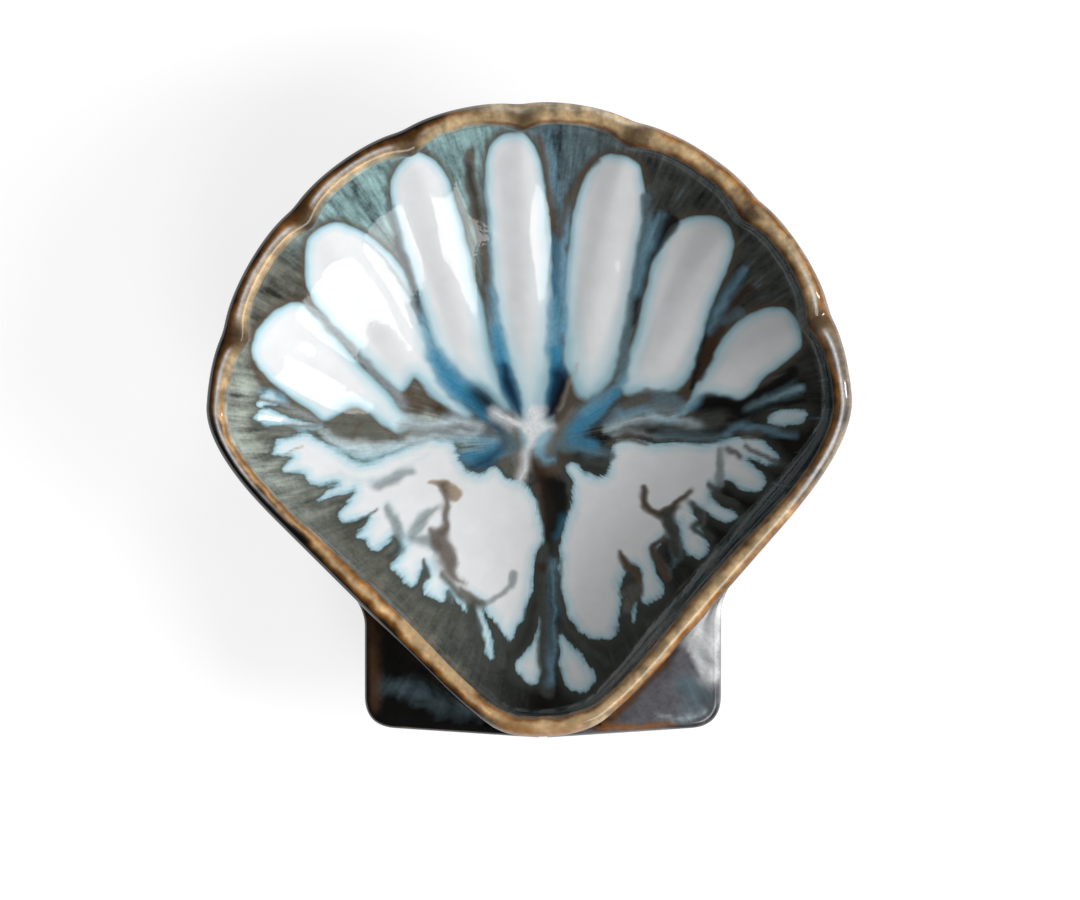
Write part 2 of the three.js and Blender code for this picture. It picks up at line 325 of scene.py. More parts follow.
def rim_line_tree():
    """Distance from the hub to the rim, its height, and how deep in a notch it is, at an angle."""
    tree = new_tree("Rim line", {"Angle": NUMBER}, {"Radius": NUMBER, "Height": NUMBER, "Notch": NUMBER})
    sizes = tree.sizes
    angle = tree.given["Angle"]
    along = sizes.fan_x * angle.cos() + sizes.fan_y * angle.sin()
    off_centre = sizes.fan_x * sizes.fan_x + sizes.fan_y * sizes.fan_y - along * along
    fan = along + (sizes.fan_radius * sizes.fan_radius - off_centre).work("SQRT")
    far_away = sizes.fan_radius * LOST_RADII

    def flank(distance, direction):
        return distance / (angle - direction).cos().work("MAXIMUM", distance / far_away)

    left = flank(sizes.left_flank, sizes.left_direction)
    right = flank(sizes.right_flank, sizes.right_direction)
    plain = blended_lesser(blended_lesser(left, right, sizes.hinge_blend), fan, sizes.shoulder_blend)
    notch = 0.0
    for direction in sizes.rib_directions:
        away = (angle - direction) / sizes.notch_half_angle
        fall = (away * away * NOTCH_FALL + NOTCH_TIP ** 2).work("SQRT")
        notch = (NOTCH_TIP - fall).work("EXPONENT") + notch
    to_hinge = (1.0 - angle.sin()) / 2.0
    height = sizes.dish_height - sizes.hinge_drop * to_hinge * to_hinge - sizes.notch_dip * notch
    give_out(tree, Radius=plain - sizes.notch_depth * notch, Height=height, Notch=notch)
    return tree.group


def rib_tree(rim_line):
    """How far one rib stands above the bowl at a point."""
    tree = new_tree("One rib", {"X": NUMBER, "Y": NUMBER, "Direction": NUMBER}, {"Rise": NUMBER})
    sizes = tree.sizes
    direction = tree.given["Direction"]
    rim = call(tree, rim_line, Angle=direction)[0]
    reach = rim - sizes.wall - sizes.crown_shift - sizes.rib_rim_width
    start_x = sizes.rib_oval_x * direction.cos()
    start_y = sizes.rib_oval_y * direction.sin()
    run_x = reach * direction.cos() - start_x
    run_y = reach * direction.sin() - start_y
    off_x = tree.given["X"] - start_x
    off_y = tree.given["Y"] - start_y
    along = ((off_x * run_x + off_y * run_y) / (run_x * run_x + run_y * run_y)).within(0.0, 1.0)
    across_x = off_x - run_x * along
    across_y = off_y - run_y * along
    half_width = pick(along, sizes.rib_rim_width, sizes.rib_floor_width)
    across = ((across_x * across_x + across_y * across_y) / (half_width * half_width)).within(0.0, 1.0)
    climb = (along / sizes.rib_rise).within(0.0, 1.0)
    swell = climb * climb * (3.0 - climb * 2.0)
    give_out(tree, Rise=sizes.rib_height * swell * (1.0 - across) * (1.0 - across))
    return tree.group


def skin_tree(rim_line, rib):
    """The glazed surface by angle and station: 0 to 1 inside, to 2 over the lip, to 3 down the outside."""
    inputs = {"Angle": NUMBER, "Station": NUMBER}
    tree = new_tree("Glazed skin", inputs, {"Radius": NUMBER, "Height": NUMBER})
    sizes = tree.sizes
    angle = tree.given["Angle"]
    station = tree.given["Station"]
    rim, height, notch = call(tree, rim_line, Angle=angle)
    lip = sizes.wall / 2.0
    lip_foot = height - lip
    shift = sizes.crown_shift * notch

    def wall_share(outward, power):
        return 1.0 - (1.0 - outward ** power).work("MAXIMUM", 0.0) ** sizes.steepness

    inside = station.within(0.0, 1.0)
    inside_radius = inside * (rim - sizes.wall - shift)
    rise = 0.0
    for direction in sizes.rib_directions:
        place = {"X": inside_radius * angle.cos(), "Y": inside_radius * angle.sin()}
        rise = call(tree, rib, Direction=direction, **place)[0] + rise
    inside_rise = (lip_foot - sizes.glazed_floor) * wall_share(inside, sizes.inside_power)
    inside_height = sizes.glazed_floor + inside_rise + rise
    over = (2.0 - station).within(0.0, 1.0) * math.pi
    reach = over.cos() * (lip + shift * over.below(math.pi / 2))
    lip_radius = rim - lip - shift + reach
    lip_height = lip_foot + lip * over.sin()
    outside = (3.0 - station).within(0.0, 1.0)
    outside_radius = sizes.line_radius + outside * (rim - sizes.line_radius)
    outside_rise = (lip_foot - sizes.line_height) * wall_share(outside, sizes.outside_power)
    outside_height = sizes.line_height + outside_rise
    radius = pick(station.below(1.0), inside_radius, pick(station.below(2.0), lip_radius, outside_radius))
    level = pick(station.below(1.0), inside_height, pick(station.below(2.0), lip_height, outside_height))
    give_out(tree, Radius=radius, Height=level)
    return tree.group


COAT_INPUTS = {
    "Angle steps": "NodeSocketInt",
    "Face rows": "NodeSocketInt",
    "Back rows": "NodeSocketInt",
    "From": NUMBER,
    "To": NUMBER,
    "Face depth": NUMBER,
    "Back depth": NUMBER,
    "Ring": NUMBER,
    "Ease": NUMBER,
    "Flat back": NUMBER,
    "Hub X": NUMBER,
    "Hub Y": NUMBER,
    "Material": "NodeSocketMaterial",
}
DIFFERENCE = 0.001
WELD = 1e-6
TINY = 1e-9


def dress(tree, geometry):
    """Ends a tree: smooth shading, real geometry and the material."""
    smooth = add_node(tree.group, "GeometryNodeSetShadeSmooth", {0: geometry})
    real = add_node(tree.group, "GeometryNodeRealizeInstances", {"Geometry": smooth.outputs[0]})
    dressed = add_node(tree.group, "GeometryNodeSetMaterial", {
        "Geometry": real.outputs["Geometry"], "Material": tree.given["Material"],
    })
    give_out(tree, Geometry=dressed.outputs["Geometry"])
    return tree.group


def shell_tree():
    """A closed piece of the shell, swept round the hub between two stations and two depths."""
    rim_line = rim_line_tree()
    skin = skin_tree(rim_line, rib_tree(rim_line))
    tree = new_tree("Shell piece", COAT_INPUTS, {"Geometry": "NodeSocketGeometry"})
    group, given, sizes = tree.group, tree.given, tree.sizes
    ring = given["Ring"]
    faces, backs = given["Face rows"], given["Back rows"]
    rows = faces + backs + ring
    grid = add_node(group, "GeometryNodeMeshGrid", {"Vertices X": given["Angle steps"], "Vertices Y": rows})
    spot = add_node(group, "ShaderNodeSeparateXYZ", {0: grid.outputs["UV Map"]})
    angle = Term(group, spot.outputs[0]) * math.tau
    row = (Term(group, spot.outputs[1]) * (rows - 1.0)).work("ROUND")
    on_face = row.below(faces - 0.5)
    on_close = 1.0 - row.below(faces + backs - 0.5)
    face_way = (row / (faces - 1.0)).within(0.0, 1.0)
    back_way = (1.0 - (row - faces) / (backs - 1.0)).within(0.0, 1.0)
    way = pick(on_face, face_way, back_way) * (1.0 - on_close)
    eased = pick(given["Ease"], (way * (math.pi / 2)).sin(), way)
    station = pick(eased, given["To"], given["From"])
    front = (on_face + on_close).within(0.0, 1.0)
    depth = pick(front, given["Face depth"], given["Back depth"])
    radius, height = call(tree, skin, Angle=angle, Station=station)
    before = call(tree, skin, Angle=angle, Station=station - DIFFERENCE)
    after = call(tree, skin, Angle=angle, Station=station + DIFFERENCE)
    run_out, run_up = after[0] - before[0], after[1] - before[1]
    run = (run_out * run_out + run_up * run_up).work("SQRT").work("MAXIMUM", TINY)
    set_radius = radius + run_up / run * depth
    set_height = height - run_out / run * depth
    flat = given["Flat back"] * (1.0 - front)
    set_radius = pick(flat, sizes.foot_radius * back_way, set_radius)
    set_height = pick(flat, sizes.foot_height, set_height)
    place = add_node(group, "ShaderNodeCombineXYZ", {
        0: given["Hub X"] + set_radius * angle.cos(),
        1: given["Hub Y"] + set_radius * angle.sin(),
        2: set_height,
    })
    moved = add_node(group, "GeometryNodeSetPosition", {
        "Geometry": grid.outputs["Mesh"], "Position": place.outputs[0],
    })
    marked = add_node(group, "GeometryNodeStoreNamedAttribute", {
        "Geometry": moved.outputs["Geometry"], "Name": "station", "Value": station,
    }, data_type="FLOAT", domain="POINT")
    welded = add_node(group, "GeometryNodeMergeByDistance", {
        "Geometry": marked.outputs["Geometry"], "Distance": WELD,
    })
    turned = add_node(group, "GeometryNodeFlipFaces", {"Mesh": welded.outputs["Geometry"]})
    return dress(tree, turned.outputs["Mesh"])


FOOT_INPUTS = {
    "Foot width": NUMBER,
    "Rounding": NUMBER,
    "Hub X": NUMBER,
    "Hub Y": NUMBER,
    "Material": "NodeSocketMaterial",
}
FOOT_STEPS = 192
FOOT_CORNER_STEPS = 5


def foot_tree():
    """The foot ring, a rounded bar swept round the hub."""
    tree = new_tree("Foot ring", FOOT_INPUTS, {"Geometry": "NodeSocketGeometry"})
    group, given, sizes = tree.group, tree.given, tree.sizes
    circle = add_node(group, "GeometryNodeCurvePrimitiveCircle", {
        "Resolution": FOOT_STEPS, "Radius": sizes.foot_radius - given["Foot width"] / 2.0,
    })
    bar = add_node(group, "GeometryNodeCurvePrimitiveQuadrilateral", {
        "Width": given["Foot width"], "Height": sizes.foot_height,
    })
    rounded = add_node(group, "GeometryNodeFilletCurve", {
        "Curve": bar.outputs["Curve"], "Radius": given["Rounding"], "Count": FOOT_CORNER_STEPS,
    }, mode="POLY")
    swept = add_node(group, "GeometryNodeCurveToMesh", {
        "Curve": circle.outputs["Curve"], "Profile Curve": rounded.outputs["Curve"],
    })
    middle = add_node(group, "ShaderNodeCombineXYZ", {
        0: given["Hub X"], 1: given["Hub Y"], 2: sizes.foot_height / 2.0,
    })
    seated = add_node(group, "GeometryNodeTransform", {
        "Geometry": swept.outputs["Mesh"], "Translation": middle.outputs[0],
    })
    return dress(tree, seated.outputs["Geometry"])


def tree_named(name, maker):
    return bpy.data.node_groups.get(name) or maker()


SHARP_ANGLE = math.radians(50)


def linked(name, data):
    """A new object in the scene."""
    item = bpy.data.objects.new(name, data)
    bpy.context.scene.collection.objects.link(item)
    return item


def grown(name, tree, values):
    """A plain mesh object made by a tree with the given inputs."""
    source = linked(f"{name}.source", bpy.data.meshes.new(f"{name}.source"))
    modifier = source.modifiers.new("Tree", "NODES")
    modifier.node_group = tree
    for item in tree.interface.items_tree:
        if item.item_type == "SOCKET" and item.in_out == "INPUT" and item.name in values:
            modifier[item.identifier] = values[item.name]
    seen = source.evaluated_get(bpy.context.evaluated_depsgraph_get())
    mesh = bpy.data.meshes.new_from_object(seen)
    bpy.data.objects.remove(source)
    if not mesh.polygons:
        raise RuntimeError(f"the tree for {name} made no faces")
    mesh.name = name
    mesh.set_sharp_from_angle(angle=SHARP_ANGLE)
    return linked(name, mesh)


def seat(piece, node):
    """Fixes a finished piece to the frame in place of its plain solid."""
    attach(piece, BODY)
    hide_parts(node)


# Rim line in numbers, for the ears

def rim_radius(sizes, angle):
    """Distance from the hub to the rim, in metres, at angles in radians."""
    def lesser(first, second, blend):
        nearness = np.maximum(blend - np.abs(first - second), 0) / blend
        return np.minimum(first, second) - nearness ** 2 * blend / 4

    def flank(distance, direction):
        return distance / np.maximum(np.cos(angle - direction), distance / (LOST_RADII * sizes.fan_radius))

    along = sizes.fan_x * np.cos(angle) + sizes.fan_y * np.sin(angle)
    fan = along + np.sqrt(sizes.fan_radius ** 2 - sizes.fan_x ** 2 - sizes.fan_y ** 2 + along ** 2)
    left = flank(sizes.left_flank, sizes.left_direction)
    right = flank(sizes.right_flank, sizes.right_direction)
    plain = lesser(lesser(left, right, sizes.hinge_blend), fan, sizes.shoulder_blend)
    away = (angle[..., None] - np.array(sizes.rib_directions)) / sizes.notch_half_angle
    fall = np.sqrt(NOTCH_FALL * away ** 2 + NOTCH_TIP ** 2)
    return plain - sizes.notch_depth * np.exp(NOTCH_TIP - fall).sum(axis=-1)


# Ears

def bend(start, knee, end, count):
    """Points along a quadratic curve, without its last point."""
    t = np.linspace(0, 1, count, endpoint=False)[:, None]
    return (1 - t) ** 2 * np.array(start) + 2 * t * (1 - t) * np.array(knee) + t ** 2 * np.array(end)


def straight(start, end, count):
    t = np.linspace(0, 1, count, endpoint=False)[:, None]
    return (1 - t) * np.array(start) + t * np.array(end)


HINGE = 1.5 * math.pi
NECK_STEPS = 16
SIDE_STEPS = 16
CORNER_STEPS = 20
HINGE_STEPS = 40
WALL_STEPS = 60


def ear_ring(sizes, ears, side, inset, inner_end, height):
    """One ear cut at a height, from the hub, anticlockwise from above, set in from its free edges."""
    direction = sizes.left_direction if side < 0 else sizes.right_direction
    distance = sizes.left_flank if side < 0 else sizes.right_flank
    hinge_middle = -rim_radius(sizes, np.array([HINGE]))[0] - ears.hinge_margin

    def flank_y(x):
        return (distance - x * math.cos(direction)) / math.sin(direction)

    def hinge_y(x):
        return hinge_middle + inset + ears.hinge_bow * abs(x) / ears.half_span

    edge = side * (ears.half_span - inset)
    radius = ears.corner - inset
    corner = (edge - side * radius, hinge_y(edge - side * radius))
    neck = edge + side * ears.neck
    end_x = side * inner_end
    start = (neck, flank_y(neck))
    free = [
        bend(start, (edge, flank_y(edge)), (edge, flank_y(edge) - ears.neck), NECK_STEPS),
        straight((edge, flank_y(edge) - ears.neck), (edge, hinge_y(edge) + radius), SIDE_STEPS),
        bend((edge, hinge_y(edge) + radius), (edge, hinge_y(edge)), corner, CORNER_STEPS),
        straight(corner, (end_x, hinge_y(inner_end)), HINGE_STEPS),
    ]
    first = math.atan2(hinge_y(inner_end), end_x) % math.tau
    last = math.atan2(start[1], start[0]) % math.tau
    angles = np.linspace(first, last, WALL_STEPS)
    radii = wall_radius(sizes, angles, height) - ears.bury
    wall = np.stack([radii * np.cos(angles), radii * np.sin(angles)], axis=1)
    plan = np.concatenate([*free, wall])
    ring = np.column_stack([plan, np.full(len(plan), height)])
    return ring if side < 0 else ring[::-1]


def wall_radius(sizes, angles, height):
    """Distance from the hub to the bowl's outside at a height."""
    lip_foot = sizes.dish_height - sizes.hinge_drop - sizes.wall / 2
    reached = (height - sizes.line_height) / (lip_foot - sizes.line_height)
    outward = (1 - (1 - reached) ** (1 / sizes.steepness)) ** (1 / sizes.outside_power)
    return sizes.line_radius + outward * (rim_radius(sizes, angles) - sizes.line_radius)


def stacked(name, rings, material):
    """A closed piece from a stack of rings, shut by a point at each end."""
    count = len(rings[0])
    low = rings[0].mean(axis=0)
    high = rings[-1].mean(axis=0)
    points = np.concatenate([*rings, low[None], high[None]])
    faces = []
    for level in range(len(rings) - 1):
        for i in range(count):
            j = (i + 1) % count
            base = level * count
            faces.append((base + i, base + j, base + count + j, base + count + i))
    last = (len(rings) - 1) * count
    for i in range(count):
        j = (i + 1) % count
        faces.append((len(points) - 2, j, i))
        faces.append((last + i, last + j, len(points) - 1))
    mesh = bpy.data.meshes.new(name)
    mesh.from_pydata((points + np.array((HUB.x, HUB.y, 0))).tolist(), [], faces)
    mesh.update()
    mesh.shade_smooth()
    mesh.set_sharp_from_angle(angle=SHARP_ANGLE)
    mesh.materials.append(material)
    return linked(name, mesh)


def shrunk(ring, share_left):
    """A ring drawn in towards its middle."""
    middle = ring.mean(axis=0)
    return middle + (ring - middle) * share_left


MIDDLE_GAP = 0.0001
ROUND_STEPS = 7
EAR_SHARES = (0.05, 0.35, 0.7)
FLOOR_SHARES = (0.05, 0.5, 1.0)
POOL_SHARES = (0.8, 0.6, 0.4, 0.2, 0.05)
POOL_SWELL = 0.00015
SWELL_SIZE = 5.0
SWELL_SEED = 71

# A pool's edge, as how far it is set in and how far it lies under the ear's top, in metres
POOL_BRIM = (
    (-0.0008, 0.00003), (-0.0003, 0.00008), (0.0003, 0.0002), (0.0009, 0.00035), (0.0016, 0.0004),
)


def pool_rings(sizes, ears, side, gap):
    """Rings of the glaze that fills an ear's hollow, drawn out thin over the lip."""
    def ring(inset, height):
        return ear_ring(sizes, ears, side, ears.lip + gap + inset, ears.pool_end + gap, height)

    base = ears.top - ears.pool_depth + gap
    floor = ring(0.0, base)
    rings = [shrunk(floor, share_left) for share_left in FLOOR_SHARES]
    rings.extend(ring(inset, ears.top - drop) for inset, drop in POOL_BRIM)
    brim = rings[-1]
    for share_left in POOL_SHARES:
        inner = shrunk(brim, share_left)
        inner[:, 2] += POOL_SWELL * ripple(inner[:, :2] / MILLIMETRE, SWELL_SIZE, SWELL_SEED)
        rings.append(inner)
    return rings


def ear_rings(sizes, ears, side):
    """Rings of one ear, from under its middle, round its edges, into the hollow on top."""
    def ring(inset, height, end=MIDDLE_GAP):
        return ear_ring(sizes, ears, side, inset, end, height)

    quarter = np.linspace(0, math.pi / 2, ROUND_STEPS)
    under = ring(ears.edge, ears.bottom)
    rings = [shrunk(under, share_left) for share_left in EAR_SHARES]
    for a in quarter:
        rings.append(ring(ears.edge * (1 - math.sin(a)), ears.bottom + ears.edge * (1 - math.cos(a))))
    for a in quarter:
        rings.append(ring(ears.edge * (1 - math.cos(a)), ears.top - ears.edge * (1 - math.sin(a))))
    for a in quarter[1:]:
        inset = ears.edge + (ears.lip - ears.edge) * math.sin(a)
        end = MIDDLE_GAP + (ears.pool_end - MIDDLE_GAP) * math.sin(a)
        rings.append(ring(inset, ears.top - ears.pool_depth * (1 - math.cos(a)), end))
    hollow = rings[-1]
    rings.extend(shrunk(hollow, share_left) for share_left in reversed(EAR_SHARES))
    return rings


# Painting, in millimetres from the hub

LATTICE = 64
FAR_GAP = 20.0
NEAR_REACH = 5.0
CURVE_STEPS = 5

# A stir's second, finer noise, as its share of the push, how much finer it is and its step of the seed
FINER_SHARE = 0.5
FINER_BY = 2.2
FINER_SEED = 7


def ripple(points, size, seed):
    """Smooth noise from -1 to 1 over plan points, with features of about the given size."""
    lattice = np.random.default_rng(seed).uniform(-1, 1, (LATTICE, LATTICE))
    grid = points / size
    cell = np.floor(grid).astype(int)
    part = grid - cell
    part = part * part * (3 - 2 * part)

    def corner(i, j):
        return lattice[(cell[:, 0] + i) % LATTICE, (cell[:, 1] + j) % LATTICE]

    low = corner(0, 0) * (1 - part[:, 0]) + corner(1, 0) * part[:, 0]
    high = corner(0, 1) * (1 - part[:, 0]) + corner(1, 1) * part[:, 0]
    return low * (1 - part[:, 1]) + high * part[:, 1]


def stirred(points, size, reach, seed):
    """Plan points pushed about by noise, so that painted edges wander."""
    def push(own_seed):
        broad = ripple(points, size, own_seed)
        return broad + FINER_SHARE * ripple(points, size / FINER_BY, own_seed + FINER_SEED)

    return points + reach * np.stack([push(seed), push(seed + 1)], axis=1)


def curve(points, closed):
    """A smooth curve through given points, as rows of the same numbers."""
    points = np.array(points, dtype=float)
    if closed:
        padded = np.concatenate([points[-1:], points, points[:2]])
    else:
        padded = np.concatenate([points[:1], points, points[-1:]])
    before, start, end, after = padded[:-3], padded[1:-2], padded[2:-1], padded[3:]
    t = (np.arange(CURVE_STEPS) / CURVE_STEPS)[None, :, None]
    a, b, c, d = (row[:, None, :] for row in (before, start, end, after))
    square = 2 * a - 5 * b + 4 * c - d
    cube = 3 * b - a - 3 * c + d
    between = (2 * b + (c - a) * t + square * t ** 2 + cube * t ** 3) / 2
    drawn = between.reshape(-1, points.shape[1])
    return drawn if closed else np.concatenate([drawn, points[-1:]])


def legs(line, closed):
    """Pairs of neighbouring rows of a curve."""
    return zip(line, np.roll(line, -1, axis=0)) if closed else zip(line, line[1:])


def off_leg(points, start, end):
    """Distance of each point from a straight leg, and how far along it lies."""
    run = end[:2] - start[:2]
    offset = points - start[:2]
    along = np.clip(offset @ run / max(run @ run, TINY), 0, 1)
    return np.linalg.norm(offset - along[:, None] * run, axis=1), along


def close_to(points, line):
    """Which points lie in or near the box round a curve."""
    low = line.min(axis=0)[:2] - NEAR_REACH
    high = line.max(axis=0)[:2] + NEAR_REACH
    return np.all((points > low) & (points < high), axis=1)


def gap_to(points, stroke):
    """Distance from each point to the edge of a tapering stroke, less than zero inside it."""
    line = curve(stroke, closed=False)
    gap = np.full(len(points), FAR_GAP)
    near = close_to(points, line)
    for start, end in legs(line, closed=False):
        away, along = off_leg(points[near], start, end)
        gap[near] = np.minimum(gap[near], away - start[2] - (end[2] - start[2]) * along)
    return gap


def gap_to_outline(points, outline):
    """Distance from each point to a closed outline, less than zero inside it."""
    line = curve(outline, closed=True)
    near = close_to(points, line)
    x, y = points[near].T
    gap = np.full(len(x), FAR_GAP)
    inside = np.zeros(len(x), dtype=bool)
    for start, end in legs(line, closed=True):
        gap = np.minimum(gap, off_leg(points[near], start, end)[0])
        crossed = (start[1] > y) != (end[1] > y)
        rise = end[1] - start[1]
        inside ^= crossed & (x < start[0] + (y - start[1]) / (rise or TINY) * (end[0] - start[0]))
    full = np.full(len(points), FAR_GAP)
    full[near] = np.where(inside, -gap, gap)
    return full


# Outlines of the white petals along the ribs, as points from the hub
PETALS = [
    [
        (-47, 26.9), (-52.2, 25.5), (-56.1, 19.9), (-55, 13.9), (-45.8, 6.4), (-42.7, 4.8),
        (-36.7, 7.4), (-31.4, 3.8), (-28.7, 2.6), (-27.1, 3.6), (-28.7, 6.4), (-39.6, 18.6),
    ],
    [
        (-46.2, 37), (-44.8, 40.4), (-39, 42.5), (-30, 36.5), (-25.4, 27.8), (-22.5, 18), (-18, 9.6),
        (-15.2, 5.6), (-17.6, 5.8), (-20.4, 8), (-25.1, 13.2), (-27.9, 10.4), (-30.6, 11.8),
        (-41.8, 23.7), (-44.8, 27.3), (-46.1, 31.3),
    ],
    [
        (-28.8, 53), (-24.2, 55.6), (-19.5, 52.4), (-16.4, 43.5), (-10.2, 15.6), (-7.4, 8.1),
        (-8.6, 7.7), (-10.4, 10), (-13.2, 11.8), (-16.4, 12.6), (-18.7, 14.8), (-22.1, 21.9),
        (-27.1, 37.2), (-29.3, 47),
    ],
    [
        (-10.8, 54.4), (-8.2, 59.3), (-2.7, 58.7), (0.2, 50.2), (1.6, 24), (-0.2, 7.1), (-0.4, 2.1),
        (-2, -0.3), (-3.2, 3.1), (-8.8, 24.4), (-10.7, 44.5),
    ],
    [
        (8.1, 50.7), (12.1, 55.8), (17.3, 55), (19, 52.4), (19.5, 43), (15, 17.6), (10.8, 10.2),
        (8, 10.4), (6.2, 13.6), (5, 19), (5.5, 39.7),
    ],
    [
        (25.6, 42.4), (31.7, 44.1), (34.8, 43), (36.6, 40.4), (36.7, 36.6), (33.4, 27.3), (28.9, 13.2),
        (22.9, 9.8), (19.6, 10.4), (16.8, 10.4), (16.8, 14), (19.7, 24.3), (22, 35.3),
    ],
    [
        (45.5, 25.9), (48.2, 24.9), (50.3, 20), (49.1, 17.3), (44.2, 13.5), (39.4, 8.8), (33.8, 9.6),
        (31.4, 9), (27.9, 6), (29.9, 8.8), (34.9, 18.5), (40.1, 24.3),
    ],
]
# Outlines of the white pools in the lower half and of the small ones at the shoulders
POOLS = [
    [(-56.6, 4.9), (-54.4, 6.5), (-47.3, 4.2), (-43.9, 3.2), (-45.8, 2.2), (-54.1, 3.5)],
    [(-56.3, 8), (-53.6, 10.4), (-52, 9), (-50.3, 8.3), (-52.2, 7.3), (-54.4, 7.5), (-55.7, 6.8)],
    [
        (-51.9, 0), (-46.4, 1.6), (-38.7, -2.9), (-35.3, -4.1), (-31.8, -3.1), (-25.9, -0.1),
        (-18.6, 0.7), (-16.4, -3.9), (-14.8, -5.9), (-12, -6.1), (-9.2, -4.9), (-7.4, -6.7),
        (-5.6, -7.9), (-3.6, -8.3), (-1.8, -10.3), (0, -16.7), (0, -19.9), (-1.4, -22.3),
        (-2.4, -30.6), (-5.5, -38.4), (-7.3, -39.9), (-8.5, -37.6), (-13.9, -30.8), (-15.2, -33.9),
        (-18.6, -29.2), (-19.5, -31.5), (-23.8, -29.3), (-22.9, -26.4), (-23.5, -24.8), (-25.7, -28.9),
        (-28.3, -26.1), (-30.2, -24.7), (-27.8, -20.7), (-29.2, -18.9), (-30.4, -19.7), (-32.6, -21.2),
        (-34.2, -20.8), (-35, -19), (-37.1, -18.4), (-34.3, -15.2), (-37.8, -15.9), (-40.1, -14.9),
        (-39.2, -12.8), (-37.2, -9.7), (-39.5, -10.6), (-44.2, -11.6), (-42.9, -10), (-40.3, -8.3),
        (-44.1, -8.8), (-46.4, -8), (-47.4, -6.3), (-51.2, -6.1), (-50.5, -4.1), (-49.2, -2.7),
        (-51.1, -2.9), (-53.2, -2.3),
    ],
    [(-13.5, -32.8), (-12.3, -32.4), (-11.3, -35.9), (-9.9, -39.8), (-9.8, -42.7), (-11, -41.7)],
    [(-0.6, -34.1), (-2.6, -40.6), (-5.5, -44.2), (-3, -47.3), (-0.8, -46.9), (-0.2, -41.5)],
    [
        (4.6, -4.7), (6.8, -4.3), (8.8, -5.9), (12.4, -6.3), (14.8, 0.1), (21.9, -0.3), (27.1, 0.1),
        (32.2, -0.2), (39.3, 1.2), (42, 0.6), (44.6, -1.2), (46.9, -4.5), (44.5, -4.5), (40.7, -3.3),
        (43.8, -6.9), (43.2, -9.2), (40.5, -9.6), (36, -7.9), (33.2, -10.6), (35.1, -12.4),
        (38.2, -14.7), (36.5, -15.9), (33.9, -15.1), (31.6, -13.4), (30.1, -13.4), (31, -16.5),
        (32.8, -20.8), (31.4, -22.3), (29.1, -22.6), (27.4, -20.9), (26.3, -16.2), (25.7, -19.3),
        (23.7, -19.4), (21.8, -22.9), (23.8, -29.1), (22.2, -31.6), (19.9, -32.1), (19.1, -30),
        (19.2, -26.5), (17.8, -24.5), (16.3, -25.3), (15.4, -28.1), (15.8, -31.6), (14.2, -38.2),
        (11.4, -39.4), (8.3, -38.7), (6, -36.5), (3.4, -28.8), (3.4, -19.9), (5.8, -12.9), (6, -9.1),
    ],
    [(44.3, 4.8), (46.6, 6), (51.5, 6.3), (51.5, 4), (48.8, 3.2), (45.8, 3.4)],
    [
        (3.4, -37.7), (5.2, -39.6), (9.5, -44.5), (10, -47.1), (8.2, -49.5), (6.3, -49.2),
        (4.3, -47.3), (3.2, -43.5),
    ],
    [(17.8, -31.9), (18.5, -32.3), (18.3, -35.4), (17.5, -34.8)],
]
